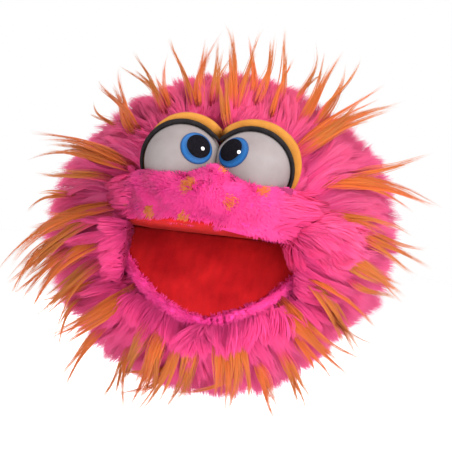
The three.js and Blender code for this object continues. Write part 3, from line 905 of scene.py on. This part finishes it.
def puff(obj, pressure, frames, most):
    """Swells a closed pad with a cloth simulation. No point moves further than most millimetres."""
    before = np.zeros(len(obj.data.vertices) * 3)
    obj.data.vertices.foreach_get("co", before)
    cloth = obj.modifiers.new("cloth", "CLOTH")
    cloth.settings.use_pressure = True
    cloth.settings.uniform_pressure_force = pressure
    cloth.settings.effector_weights.gravity = 0.0
    cloth.settings.tension_stiffness = 40
    cloth.settings.compression_stiffness = 40
    cloth.point_cache.frame_start = 1
    cloth.point_cache.frame_end = frames
    scene = bpy.context.scene
    for frame_number in range(1, frames + 1):
        scene.frame_set(frame_number)
    evaluated = obj.evaluated_get(bpy.context.evaluated_depsgraph_get())
    after = np.zeros(len(obj.data.vertices) * 3)
    evaluated.data.vertices.foreach_get("co", after)
    obj.modifiers.remove(cloth)
    scene.frame_set(1)
    moved = (after - before).reshape(-1, 3)
    far = np.linalg.norm(moved, axis=1, keepdims=True)
    moved = moved * np.minimum(1, most * MM / np.maximum(far, 1e-9))
    obj.data.vertices.foreach_set("co", before + moved.ravel())
    obj.data.update()
    return obj


def surface_points(obj, count, seed):
    """Points spread at random over a mesh by area, with the normals there, in millimetres."""
    rng = np.random.default_rng(seed)
    mesh = obj.data
    mesh.calc_loop_triangles()
    tris = np.zeros(len(mesh.loop_triangles) * 3, np.int32)
    mesh.loop_triangles.foreach_get("vertices", tris)
    tris = tris.reshape(-1, 3)
    co = np.zeros(len(mesh.vertices) * 3)
    mesh.vertices.foreach_get("co", co)
    co = co.reshape(-1, 3) / MM
    a, b, c = co[tris[:, 0]], co[tris[:, 1]], co[tris[:, 2]]
    cross = np.cross(b - a, c - a)
    area = np.linalg.norm(cross, axis=1)
    pick = rng.choice(len(tris), count, p=area / area.sum())
    s, t = rng.uniform(size=(2, count))
    over = s + t > 1
    s[over], t[over] = 1 - s[over], 1 - t[over]
    points = a[pick] + (b - a)[pick] * s[:, None] + (c - a)[pick] * t[:, None]
    return points, unit(cross[pick])


FLECKS = [  # across and height of each orange fleck on the muzzle's front, and its size
    (-12, 26, 4.0), (11, 20, 3.4), (26.5, 27, 3.0), (-12.5, 9.5, 3.4), (-32.5, 10.5, 3.4),
    (4, 37, 3.0), (-50, 14, 3.6), (44, 14, 2.4), (-30, 37, 2.4),
]


def fleck_share(p):
    """How much of each point's colour is an orange fleck, 0 to 1."""
    share = np.zeros(len(p))
    for x, z, size in FLECKS:
        away = np.hypot(p[:, 0] - x, p[:, 2] - z) / size
        share = np.maximum(share, 1 - smooth_step(away, 0.5, 1.3))
    return share * (p[:, 1] < -118)


def fuzz(points, normals, seed, length=(1.8, 3.4)):
    """Short lines for sheared plush, leaning down and outwards."""
    rng = np.random.default_rng(seed)
    count = len(points)
    lean = np.stack([points[:, 0] / 60, np.full(count, -0.1), np.full(count, -0.5)], axis=1)
    grain = [ripple(points, 11 + i, seed + i) for i in range(3)]
    lean = lean + 0.35 * np.stack(grain, axis=1)
    heading = unit(normals + 0.9 * lean + rng.normal(0, 0.15, (count, 3)))
    length = rng.uniform(*length, count)
    bend = unit(heading + 0.6 * lean)
    middle = points + heading * (0.5 * length)[:, None]
    lines = np.stack([points - normals * 0.4, middle, middle + bend * (0.5 * length)[:, None]], axis=1)
    turned = normals * np.array([1.0, 1.0, 0.6]) + np.array([0.0, -0.6, 0.1])
    soft = unit(turned[:, None, :] + 0.2 * np.stack(grain, axis=1)[:, None, :] + 0 * lines)
    return lines, soft


def muzzle_end(points, normals, side, seed):
    """Longer pile that grows out over one end of the muzzle, so that the two coats run together."""
    rng = np.random.default_rng(seed)
    inner = 31 if side > 0 else 40
    share = smooth_step(side * points[:, 0], inner, inner + 12)
    keep = rng.uniform(size=len(points)) < share
    roots, normals, share = points[keep], normals[keep], share[keep]
    grain = grain_of(roots, 14, seed)
    outward = np.array([side, 0.0, -0.1])
    start = unit(0.25 * normals + outward + 0.2 * grain + rng.normal(0, 0.1, roots.shape))
    bend = unit(outward + np.array([0.0, 0.7, -0.1]) + 0.3 * grain)
    return swept(roots, start, bend, normals + 0.2 * grain, (6, 9), rng, seed + 4, 0.5 + 1.6 * share)[1]


def muzzle_cushion():
    """A padded cushion over the mouth, flat below, with a bridge between the eyes and a soft lip."""
    across, forward = mouth_rim(60, -0.5)
    across, forward = across[6:-6], forward[6:-6]
    hang = 5.4 - 4.2 * smooth_step(across, -25, 40)
    lip = on_board(across, forward, hang, UPPER_TILT, 1)
    cushion, cushion_faces = oval_ball(*MUZZLE)
    cushion[:, 2] = np.maximum(cushion[:, 2], palate_height(cushion[:, 1]) + 1.0)
    cushion[:, 2] -= 0.04 * cushion[:, 0]
    parts = [(cushion, cushion_faces), oval_ball(*BRIDGE), tube(lip, 4.0)]
    muzzle = puff(joined("muzzle_cushion", parts, PLUSH_BACKING, 2.0, 10), 4.0, 20, 1.2)
    settle(muzzle, "short_plush", "upper", "muzzle_coat", "muzzle_padding")
    return muzzle


def muzzle_fur(points, normals, rng):
    """The longer pile over both ends of the muzzle."""
    ends = [muzzle_end(points, normals, side, 27 + side) for side in (-1, 1)]
    lines, soft, shade, width = (np.concatenate([end[i] for end in ends]) for i in range(4))
    across = ribbon_sides(lines, soft[:, 2], rng.normal(0, 0.4, len(lines)))
    fur = add_ribbons("muzzle_ends", lines, width[:, None] * PILE_TAPER, across, shade, soft, PINK)
    settle(fur, "long_fur", "upper")


def make_muzzle():
    """The muzzle's cushion, covered with sheared plush that has orange flecks in it."""
    points, normals = surface_points(muzzle_cushion(), FUZZ, 21)
    above = points[:, 2] - palate_height(points[:, 1])
    keep = (points[:, 1] < -104) & (normals[:, 1] < 0.7) & (above > -3.2) & (normals[:, 2] > -0.92)
    points, normals = points[keep], normals[keep]
    rng = np.random.default_rng(22)
    lines, soft = fuzz(points, normals, 23)
    orange = rng.uniform(size=len(points)) < fleck_share(points) * 0.97
    # The plush's tone is a random mottle and painted light: it grows lighter towards the puppet's left (+X)
    # and duller, towards the dull mauve, towards its right.
    plush_mottle_and_side_light = 0.55 + 0.14 * ripple(points, 13, 24) + 0.06 * ripple(points, 5, 25)
    plush_mottle_and_side_light = np.clip(plush_mottle_and_side_light + rng.normal(0, 0.05, len(points)) + points[:, 0] / 120 + 0.08, 0, 1)
    across = ribbon_sides(lines, soft[:, 1], rng.normal(0, 0.4, len(lines)))
    widths = rng.uniform(0.45, 0.75, len(lines))[:, None] * PLUSH_TAPER
    muzzle_fur(points, normals, rng)
    for name, at, material in (("muzzle_plush", ~orange, PLUSH), ("muzzle_flecks", orange, ORANGE)):
        obj = add_ribbons(name, lines[at], widths[at], across[at], plush_mottle_and_side_light[at], soft[at], material)
        settle(obj, "short_plush", "upper")


# ---- The mouth ----------------------------------------------------------------------------------
def mouth_felt(name, tilt, side, body, node):
    """A mouth board's velour: a soft D-shaped pad, rolled over at its rim."""
    across, forward = mouth_rim(72, 0.0, TONGUE_POINT if side < 0 else 1.0)
    centre = 24.0
    rings = np.concatenate([np.linspace(0.0, 0.94, 22), [0.975, 1.0, 1.004, 0.99]])
    up = np.concatenate([np.zeros(22), [0.25, 1.0, 2.0, 2.6]])
    rows = []
    for share, height in zip(rings, up):
        x = across * share
        f = centre + (forward - centre) * share
        swell = -0.2 - 0.9 * (1 - min(share, 1.0) ** 2)
        bumps = 0.45 * ripple(np.stack([x, f, 0 * x], axis=1), 34, 31 + side) * (1 - min(share, 1.0) ** 4)
        rows.append(on_board(x, np.maximum(f, 0.6), swell + bumps + height, tilt, side))
    verts = np.array(rows)
    obj = new_object(name, verts.reshape(-1, 3), grid_faces(*verts.shape[:2], wrap=True), VELOUR)
    settle(obj, "red_plush", body, node)


def mouth_board(name, tilt, side, body, node, point):
    """The stiff board behind a mouth board's velour, which it doesn't reach the rim of."""
    across, forward = mouth_rim(72, -1.5, point)
    centre = 24.0
    reach = np.maximum(forward, 4.0) - centre
    rings = [(0.02, 3.0), (0.5, 3.0), (1.0, 3.0), (1.0, 4.4), (0.5, 4.4), (0.02, 4.4)]
    verts = np.array([on_board(across * r, centre + reach * r, h, tilt, side) for r, h in rings])
    obj = new_object(name, verts.reshape(-1, 3), capped_faces(*verts.shape[:2]), BOARD)
    settle(obj, "stiff_board", body, node)


def rolled_edge(name, tilt, side, body, radius, extra):
    """The plush edge rolled round a mouth board's rim, with its short pile."""
    across, forward = mouth_rim(120, extra, TONGUE_POINT)
    across, forward = across[3:-3], forward[3:-3]
    line = on_board(across, forward, np.full(len(across), 1.2), tilt, side)
    line = line + 0.5 * grain_of(line, 10, 41)
    roll = new_object(name, *tube(line, radius, 18), PLUSH_BACKING)
    points, normals = surface_points(roll, 7000, 43)
    lines, soft = fuzz(points, normals, 44, (1.4, 2.8))
    rng = np.random.default_rng(45)
    turned = ribbon_sides(lines, normals, rng.normal(0, 0.6, len(lines)))
    widths = rng.uniform(0.4, 0.65, len(lines))[:, None] * PLUSH_TAPER
    shade = np.clip(0.62 + 0.14 * ripple(points, 9, 46) + rng.normal(0, 0.05, len(points)), 0, 1)
    plush = add_ribbons(f"{name}_plush", lines, widths, turned, shade, soft, PLUSH)
    for obj in (roll, plush):
        settle(obj, "short_plush", body)


def make_mouth():
    """Both mouth boards with their velour, the lower lip's edge and the fold between the boards."""
    mouth_felt("palate_velour", UPPER_TILT, 1, "upper", "palate_felt")
    mouth_felt("tongue_velour", LOWER_TILT, -1, "jaw", "tongue_felt")
    mouth_board("palate_stiffener", UPPER_TILT, 1, "upper", "palate_board", 1.0)
    mouth_board("tongue_stiffener", LOWER_TILT, -1, "jaw", "tongue_board", TONGUE_POINT)
    rolled_edge("edge_lower", LOWER_TILT, -1, "jaw", 2.8, 2.2)
    radius, rows, columns = 3.0, 15, 30
    turn = np.radians(np.linspace(UPPER_TILT + 80, 360 + LOWER_TILT - 80, rows))
    turn, xs = np.meshgrid(turn, np.linspace(-MOUTH_HALF, MOUTH_HALF, columns), indexing="ij")
    strip = np.stack([xs, FOLD_Y - radius * np.cos(turn), radius * np.sin(turn)], axis=-1)
    fold = new_object("throat_velour", strip.reshape(-1, 3), grid_faces(rows, columns), VELOUR)
    settle(fold, "red_plush", "back", "mouth_fold")


# ---- The eyes -----------------------------------------------------------------------------------
def spun(profile, around):
    """Verts and faces of a closed (radius, along Y) profile spun about Y."""
    turn = np.arange(around) * 2 * math.pi / around
    reach, y = profile[:, :1], profile[:, 1:]
    verts = np.stack([reach * np.cos(turn), y + 0 * turn, reach * np.sin(turn)], -1)
    return verts.reshape(-1, 3), grid_faces(len(profile), around, wrap=True)


def turned_by(down, aside):
    """A rotation that tips what faces -Y down and then turns it to the left, in degrees."""
    tip = Matrix.Rotation(math.radians(down), 3, "X")
    return Matrix.Rotation(math.radians(aside), 3, "Z") @ tip


def eye_place(side):
    """The middle of an eye."""
    return np.array([EYE_SHIFT + side * EYE["x"], EYE["y"], EYE["z"]])


def pressed(verts, side, gap):
    """Points moved sideways where they would cross to the other eye's side."""
    across = np.maximum(side * (verts[:, 0] - EYE_SHIFT), gap)
    return np.stack([EYE_SHIFT + side * across, verts[:, 1], verts[:, 2]], axis=1)


def outward_angle(turn, side):
    """Angles round an eye in degrees, counted from its outer corner up."""
    return np.degrees(np.arctan2(np.sin(turn), side * np.cos(turn)))


def lid_height(outward, side):
    """How much of the lid shows at each angle round the eye, 0 to 1. It is thin at the inner corner."""
    start = -40 if side > 0 else 20
    return smooth_step(outward, start, start + 75) * (1 - smooth_step(outward, 120, 160))


def eye_lid(name, side):
    """A felt shell behind the eye, with a rounded front edge, pressed flat where the lids meet."""
    inner, deep, around = LID["inner"], LID["depth"], 96
    turn = np.arange(around) * 2 * math.pi / around
    outward = outward_angle(turn, side)
    outer = LID["thin"] + (LID["outer"] - LID["thin"]) * lid_height(outward, side) + 0.9 * np.cos(turn)
    hidden = 9 * np.maximum(smooth_step(outward, 128, 144), 1 - smooth_step(outward, -80, -50))
    middle, thick = (inner + outer) / 2, (outer - inner) / 2
    rows = [(np.sqrt(outer**2 - y**2), y) for y in np.linspace(deep, 0, 12)]
    rows += [(middle + thick * math.cos(a), -1.6 * math.sin(a)) for a in np.linspace(0, math.pi, 9)]
    rows += [(math.sqrt(inner**2 - y**2), y) for y in np.linspace(0, deep, 12)]
    across, up = np.cos(turn), np.sin(turn)
    verts = np.array([np.stack([r * across, y + 0 * turn, r * up], axis=1) for r, y in rows])
    faces = grid_faces(len(rows), around, wrap=True)
    verts[:, :, 1] += np.minimum(hidden, deep - 1 - verts[:, :, 1] * 0.5)
    verts = verts.reshape(-1, 3)
    verts = verts + 0.2 * ripple(verts, 9, 71)[:, None] * unit(verts)
    verts = verts @ turn_x(LID["tip"]).T + eye_place(side)
    obj = new_object(f"lid_{name}", pressed(verts, side, 0.15), faces, LID_FELT)
    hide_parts(f"eye_lid_{name}")
    return obj


def eye_lash(name, side):
    """A black felt band along the lid's front edge, from the inner corner over to the outer one."""
    rows, around = 90, 14
    angle = np.linspace(-42, 148, rows)[:, None]
    turn = np.radians(angle)
    ends = np.minimum(1, 0.2 + 4 * np.sin(np.linspace(0, math.pi, rows)))[:, None]
    thick = ends * np.interp(angle, [-42, 10, 60, 100, 148], [0.85, 1.1, 1.45, 1.4, 1.1])
    ring = np.arange(around) * 2 * math.pi / around
    reach = 22.9 + 1.2 * smooth_step(angle, 128, 150) + thick * np.cos(ring)
    x, y, z = side * reach * np.cos(turn), -2.6 + thick * np.sin(ring), reach * np.sin(turn)
    band = np.stack([x, y, z], axis=-1).reshape(-1, 3)
    verts = pressed(band @ turn_x(LID["tip"]).T + eye_place(side), side, 0.1)
    obj = new_object(f"lash_{name}", verts, capped_faces(rows, around), LASH_FELT)
    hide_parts(f"eye_lash_{name}")
    return obj


def disc_outline(base, thick, edge):
    """Half the section of a disc that follows a ball of radius base, with a rounded edge."""
    angles = np.linspace(0.001, math.asin(edge / base), 14)
    fall = np.array([0.4, 0.7, 1.0])
    radii = base + thick * np.concatenate([np.ones(14), 1 - fall * fall])
    angles = np.concatenate([angles, angles[-1] + 0.012 * fall])
    return np.stack([radii * np.sin(angles), -radii * np.cos(angles)], axis=1)


def eye_disc(kind, name, side, outline, edge, material, shift):
    """A round disc that follows the eyeball and faces where the eye looks."""
    verts, faces = spun(outline, 64)
    share = np.clip(np.hypot(verts[:, 0], verts[:, 2]) / edge, 0, 1)
    look = turned_by(-GAZE_UP, -side * GAZE_INWARD[name])
    verts = verts @ np.array(look @ turned_by(*shift)).T + eye_place(side)
    obj = new_object(f"{kind}_disc_{name}", verts, faces, material)
    obj.data.attributes.new("along", "FLOAT", "POINT").data.foreach_set("value", share.astype(np.float32))
    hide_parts(f"{kind}_{name}")
    return obj


def make_eye(name, side):
    """One eye: ball, lid, band, iris, pupil and glint. Each disc lies on the one before it."""
    verts, faces = oval_ball((0, 0, 0), (EYE["radius"],) * 3)
    verts = pressed(verts @ turn_x(90).T + eye_place(side), side, 0.05)
    ball = new_object(f"eyeball_{name}", verts, faces, EYE_KNIT)
    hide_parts(f"eye_ball_{name}")
    pieces = [(ball, "eye_felt"), (eye_lid(name, side), "lid_felt"), (eye_lash(name, side), "lash_felt")]
    discs = (
        ("iris", 0.5, IRIS_RADIUS, IRIS, "iris_blue", (0.0, 0.0)),
        ("pupil", 0.5, PUPIL_RADIUS, PUPIL, "pupil_black", PUPIL_TURN[name]),
        ("glint", 0.35, GLINT_RADIUS, GLINT_WHITE, "glint_white", GLINT_TURN[name]),
    )
    base = EYE["radius"] + 0.1
    for kind, thick, edge, material, slot, shift in discs:
        outline = disc_outline(base, thick, edge)
        pieces.append((eye_disc(kind, name, side, outline, edge, material, shift), slot))
        base += thick
    for obj, slot in pieces:
        settle(obj, slot, "upper")


# ---- Orange locks -------------------------------------------------------------------------------
# Each lock of the front: where it comes out of the pile and where it ends, both as a clock angle seen
# from the front, counted from +X through up, and a distance from the ball's middle, then how full it is.
FRONT_LOCKS = [
    (137, 70, 135, 115, 3), (141, 84, 145, 108, 1), (120, 70, 123, 114, 2), (118, 72, 117, 109, 1),
    (104, 69, 104, 116, 2), (107, 69, 109, 112, 1), (148, 57, 161, 125, 2), (150, 58, 165, 122, 2),
    (172, 84, 178, 113, 1), (171, 56, 202, 129, 3), (87, 66, 94, 119, 2), (86, 68, 88, 118, 1),
    (81, 80, 86, 111, 1), (78, 74, 80, 116, 2), (69, 80, 79, 121, 1), (64, 84, 65, 118, 1),
    (57, 75, 64, 122, 2), (51, 80, 60, 124, 2), (49, 61, 45, 113, 2), (49, 61, 41, 127, 3),
    (51, 62, 45, 124, 2), (28, 84, 24, 126, 1), (30, 66, 10, 128, 3), (188, 82, 203, 128, 2),
    (190, 84, 205, 124, 1), (193, 82, 209, 130, 2), (211, 71, 211, 119, 2), (213, 86, 221, 120, 1),
    (224, 56, 223, 121, 3), (228, 85, 230, 132, 2), (240, 82, 244, 125, 2), (252, 58, 250, 119, 3),
    (253, 60, 254, 112, 2), (261, 58, 256, 121, 2), (259, 86, 247, 116, 1), (282, 62, 279, 104, 3),
    (294, 82, 295, 114, 2), (305, 80, 305, 118, 2), (314, 76, 312, 110, 1),
    (319, 52, 319, 117, 3), (341, 56, 323, 113, 2), (341, 58, 334, 105, 1),
    (355, 76, 344, 96, 1), (347, 84, 341, 106, 1), (6, 80, -3, 123, 2),
    (4, 82, -7, 115, 1), (289, 86, 256, 101, 1), (262, 84, 238, 104, 1),
    (86, 56, 99, 92, 2), (70, 70, 72, 104, 1), (98, 70, 96, 106, 2), (155, 76, 158, 108, 2),
    (16, 62, 4, 108, 2), (0, 66, -16, 116, 3), (178, 66, 190, 112, 2), (200, 66, 214, 112, 2),
    (178, 60, 206, 122, 3), (190, 60, 213, 124, 3), (202, 62, 218, 122, 2), (245, 60, 241, 112, 3),
    (268, 58, 262, 112, 3), (290, 58, 285, 106, 3), (160, 62, 170, 110, 2),
]
REAR_LOCKS = 40

# A lock that starts behind this depth on the nape or the throat belongs to the side's tufts.
FRONT_END = -84.0

# For each fullness of a lock: how many wisps and fibres it has, and half its width.
FULLNESS = {1: (2, 34, 1.9), 2: (4, 70, 3.5), 3: (6, 130, 6.0)}

# The tufts of each part of the coat: how many the CAD has, and the body that they ride on.
TUFTS = {"crown": (9, "upper"), "side": (9, "back"), "chin": (7, "jaw")}


def pile_depth(points):
    """How far forward the pile's surface is at each point of a line, seen from the front. Past the
    silhouette a lock leans back."""
    lines = GUIDES[0].reshape(-1, 3)
    lines = lines[lines[:, 1] < -70]
    depths, last = [], None
    for x, _, z in points:
        near = np.hypot(lines[:, 0] - x, lines[:, 2] - z) < 5
        if np.count_nonzero(near) > 6 and (last is None or np.hypot(x, z - BALL[2]) < 94):
            last = np.percentile(lines[near, 1], 8)
        else:
            last = -125.0 if last is None else last + 2.5
        depths.append(last)
    return np.array(depths)


def on_front(clock, reach, depth):
    """A point from its clock angle and distance seen from the front, and its depth."""
    turn = np.radians(clock)
    return np.stack([reach * np.cos(turn), depth + 0 * turn, BALL[2] + reach * np.sin(turn)], axis=-1)


def lock_line(clock0, reach0, clock1, reach1):
    """A front lock's line: it rises through the pile, lies on it, and ends past the silhouette."""
    t = np.linspace(0, 1, 14)
    reach = (reach0 - 8) + (reach1 - reach0 + 8) * t
    clock = clock0 + (clock1 - clock0) * t**1.15
    sunk = np.interp(reach - reach0, [-8, 0, 8, 20], [5, -1.5, -5.0, -6.5])
    depth = pile_depth(on_front(clock, reach, 0 * reach))
    for _ in range(4):
        depth[1:-1] = (depth[:-2] + depth[1:-1] + depth[2:]) / 3
    line = on_front(clock, reach, depth + sunk)
    line[1:-1] = (line[:-2] + 2 * line[1:-1] + line[2:]) / 4
    return line, unit((line[5] - BALL) / SKIN**2)


def rear_lock_lines():
    """Locks spread evenly over the back half, which the front view doesn't show."""
    rng = np.random.default_rng(81)
    points, normals, polar = skin_roots(REAR_LOCKS * 2, 82)
    keep = furry(points, polar) & (polar > 96)
    points, normals, polar = points[keep], normals[keep], polar[keep]
    lines = combed(points, normals, polar, 83)
    stretch = rng.uniform(1.25, 1.5, len(lines))
    return [(line[0] + (line - line[0]) * s, n) for line, s, n in zip(lines, stretch, normals)]


def lock_fibres(line, normal, full, rng):
    """The fibres of one lock, which lie side by side and part into a few wisps towards the tip."""
    wisps, count, half = FULLNESS[full]
    along = unit(np.gradient(line, axis=0))
    across = unit(np.cross(line[-1] - line[0], normal))
    side = unit(across - np.sum(along * across, axis=1, keepdims=True) * along)
    up = unit(np.cross(side, along))
    hull = unit((line - BALL) / SKIN**2)
    wisp = rng.integers(0, wisps, count)
    place = (wisp + 0.5) / wisps * 2 - 1
    reach = np.linspace(0.74, 1.0, wisps)[rng.permutation(wisps)][wisp]
    reach = reach * (1 - 0.3 * rng.beta(1.2, 3, count))
    curl = (rng.normal(0, 5.5, wisps) + rng.normal(0, 2.5))[wisp]
    hook = rng.normal(0, 2.5, wisps)[wisp]
    sway, phase = rng.uniform(1.4, 3.2), rng.uniform(0, 6.3)
    begin = 0.22 * rng.beta(1.5, 2, count)[:, None]
    t = begin + np.linspace(0, 1, 11)[None, :] * (reach[:, None] - begin)
    at = t * (len(line) - 1)
    low = np.minimum(at.astype(int), len(line) - 2)
    part = (at - low)[..., None]
    base = line[low] * (1 - part) + line[low + 1] * part
    body = half * np.interp(t, [0, 0.15, 0.36, 0.6, 0.85, 1], [0.5, 0.85, 1.0, 0.66, 0.44, 0.36])
    own = half * 1.5 / wisps * np.interp(t, [0, 0.3, 0.65, 1], [0.5, 1.0, 0.45, 0.05])
    u, v = rng.uniform(-1, 1, (count, 1)), rng.uniform(-1, 1, (count, 1))
    u = np.where(rng.uniform(size=(count, 1)) < 0.2, 2.1 * u, u)
    ripples = sway * np.sin(5.5 * t + phase + 0.8 * place[:, None]) * t
    sideways = place[:, None] * body * 0.6 + u * own + curl[:, None] * t**2.6 + ripples
    upwards = v * own * 0.4 + hook[:, None] * t**2.4
    stray = rng.normal(size=(count, 1, 3)) * (t**2.2)[..., None] * 0.6
    lines = base + side[low] * sideways[..., None] + up[low] * upwards[..., None] + stray
    soft = unit(hull[low] + side[low] * (0.55 * u + 0.2 * place[:, None])[..., None] + 0.25 * along[low])
    return lines, soft


def tuft_middle(name):
    """The middle of a CAD tuft's box, in millimetres."""
    low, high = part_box(f"tuft_{name}")
    return np.array((low + high) / 2) / MM


def tuft_part(line):
    """The part of the coat whose tufts a lock belongs to."""
    zone = zone_of(line[:1])[0]
    if zone in ("nape", "throat") and line[0, 1] > FRONT_END:
        return "side"
    return {"crown": "crown", "nape": "crown", "chin": "chin", "throat": "chin"}.get(zone, "side")


def grouped_locks():
    """Every lock, under the name of the CAD tuft whose middle is nearest to its tip."""
    names = [f"{part}_{i + 1}" for part, (count, _) in TUFTS.items() for i in range(count)]
    middles = {name: tuft_middle(name) for name in names}
    groups = {name: [] for name in names}
    found = [(*lock_line(*place), full) for *place, full in FRONT_LOCKS]
    found += [(line, normal, 2) for line, normal in rear_lock_lines()]
    for line, normal, full in found:
        part = tuft_part(line)
        away = {name: np.linalg.norm(middles[name] - line[-1]) for name in names if name.startswith(part)}
        groups[min(away, key=away.get)].append((line, normal, full))
    return {name: locks or [tuft_lock(middles[name])] for name, locks in groups.items()}


def make_locks():
    """Each CAD tuft's locks, with the pile's other locks that are nearest to it."""
    rng = np.random.default_rng(91)
    taper = np.interp(np.linspace(0, 1, 11), [0, 0.2, 0.6, 1], [0.6, 1.0, 0.75, 0.0])
    for name, locks in grouped_locks().items():
        made = [lock_fibres(line, normal, full, rng) for line, normal, full in locks]
        lines, soft = (np.concatenate([m[i] for m in made]) for i in range(2))
        across = ribbon_sides(lines, soft[:, 4], rng.normal(0, 0.5, len(lines)))
        widths = rng.uniform(0.3, 0.52, len(lines))[:, None] * taper
        shade = np.concatenate([np.full(len(m[0]), 0.5 + 0.2 * rng.normal()) for m in made])
        shade = np.clip(shade + 0.16 * rng.normal(size=len(lines)), 0, 1)
        obj = add_ribbons(f"lock_{name}", lines, widths, across, shade, soft, ORANGE)
        settle(obj, "tuft_fibre", TUFTS[name.split("_")[0]][1], f"tuft_{name}")


def tuft_lock(middle):
    """A lock through the middle of a CAD tuft, for a tuft with no lock near it."""
    normal = unit((middle - BALL) / SKIN**2)
    root = BALL + (middle - BALL) * 0.62
    tip = middle + normal * 12
    t = np.linspace(0, 1, 12)[:, None]
    return root * (1 - t) + tip * t, normal, 2


def line_inside(nodes):
    """Gives the sleeve and the pockets their material, and leaves the CAD's shapes."""
    for name in ("sleeve_lining", "finger_pocket", "thumb_pocket"):
        nodes[name].data.materials.clear()
        nodes[name].data.materials.append(LINING)


def make_hem():
    """The rolled elastic hem round the hand opening, with gathers."""
    around, columns = 160, 16
    spin = (np.arange(around) * 2 * math.pi / around)[:, None]
    turn = np.linspace(0, 2 * math.pi, columns + 1)[:-1]
    radial = 3.0 * np.cos(turn) * (1 + 0.25 * np.cos(spin * 36))
    depth = -4.0 + 4.0 * np.sin(turn) + 0 * spin
    verts = np.stack([(49 + radial) * np.cos(spin), depth, (39 + radial) * np.sin(spin)], axis=-1)
    last = (around - 1) * columns
    faces = grid_faces(around, columns, wrap=True)
    faces += [(last + c, last + (c + 1) % columns, (c + 1) % columns, c) for c in range(columns)]
    settle(new_object("hem_roll", verts.reshape(-1, 3), faces, ELASTIC), "elastic", "back", "hem_ring")


# ---- The stage ----------------------------------------------------------------------------------
def make_floor():
    """A pale floor under the puppet."""
    shader = Shader("floor_white", roughness=0.9)
    shader.colour(shader.greys(shader.noise(3.0), (0.0, 0.95), (1.0, 0.98)))
    shader.main.inputs["Emission Color"].default_value = (1, 1, 1, 1)
    shader.main.inputs["Emission Strength"].default_value = 0.45
    size, height = 4.0, -0.15
    corners = [(-size, -size, height), (size, -size, height), (size, size, height), (-size, size, height)]
    new_object("floor", np.array(corners) / MM, [(0, 1, 2, 3)], shader.material)


def make_surround():
    """A white surround, which lights the puppet less than it shows."""
    world = bpy.data.worlds.new("surround")
    world.use_nodes = True
    bpy.context.scene.world = world
    background = world.node_tree.nodes["Background"]
    background.inputs["Color"].default_value = (1, 1, 1, 1)
    path = world.node_tree.nodes.new("ShaderNodeLightPath")
    strength = world.node_tree.nodes.new("ShaderNodeMapRange")
    strength.inputs["To Min"].default_value = 0.55
    strength.inputs["To Max"].default_value = 1.0
    world.node_tree.links.new(path.outputs["Is Camera Ray"], strength.inputs["Value"])
    world.node_tree.links.new(strength.outputs["Result"], background.inputs["Strength"])


# Each light: where it stands, its size and power, and its colour.
LIGHTS = {
    "key": ((1.0, -1.05, 0.35), 0.7, 14.0, (1.0, 0.98, 0.96)),
    "top": ((0.1, -0.45, 1.1), 0.9, 13.0, (1.0, 0.98, 0.97)),
    "low": ((0.2, -1.1, -0.10), 0.5, 1.8, (1.0, 0.98, 0.97)),
    "back": ((-0.7, 1.1, 0.35), 0.9, 11.0, (0.97, 0.98, 1.0)),
}


def make_lights():
    """Soft light from the puppet's left and above, a little from below, and some from behind."""
    middle = Vector((0, -0.09, 0))
    for name, (place, width, power, colour) in LIGHTS.items():
        light = bpy.data.lights.new(name, "AREA")
        light.size = width
        light.energy = power
        light.color = colour
        obj = linked(name, light)
        obj.location = place
        obj.rotation_euler = (middle - Vector(place)).to_track_quat("-Z", "Y").to_euler()


def make_camera():
    """A long lens in front, a little to the puppet's left, rolled so that the puppet leans."""
    camera = bpy.data.cameras.new("camera")
    camera.sensor_width = 36.0
    camera.lens = 139.0
    camera.clip_end = 20.0
    obj = linked("camera", camera)
    azimuth, elevation, roll, distance = math.radians(6.5), math.radians(1.0), math.radians(6.5), 1.0
    level = math.cos(elevation)
    back = Vector((math.sin(azimuth) * level, -math.cos(azimuth) * level, math.sin(elevation)))
    turn = (-back).to_track_quat("-Z", "Y").to_matrix() @ Matrix.Rotation(roll, 3, "Z")
    aim = Vector(BALL * MM) + turn @ Vector((0.0023, 0.0011, 0))
    obj.matrix_world = Matrix.Translation(aim + back * distance) @ turn.to_4x4()
    bpy.context.scene.camera = obj
    bpy.context.scene.view_settings.view_transform = "Standard"


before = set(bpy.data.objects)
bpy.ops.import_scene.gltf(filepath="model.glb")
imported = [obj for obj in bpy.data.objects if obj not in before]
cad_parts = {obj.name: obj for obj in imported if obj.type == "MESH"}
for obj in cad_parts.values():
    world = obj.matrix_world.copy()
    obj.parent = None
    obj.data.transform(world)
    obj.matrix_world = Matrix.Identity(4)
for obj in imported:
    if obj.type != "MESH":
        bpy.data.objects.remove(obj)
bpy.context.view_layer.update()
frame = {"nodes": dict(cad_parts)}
GUIDES = guide_lines()
make_coat()
make_fur()
make_muzzle()
make_mouth()
make_eye("left", 1)
make_eye("right", -1)
make_locks()
make_hem()
line_inside(frame["nodes"])
make_floor()
make_surround()
make_lights()
make_camera()
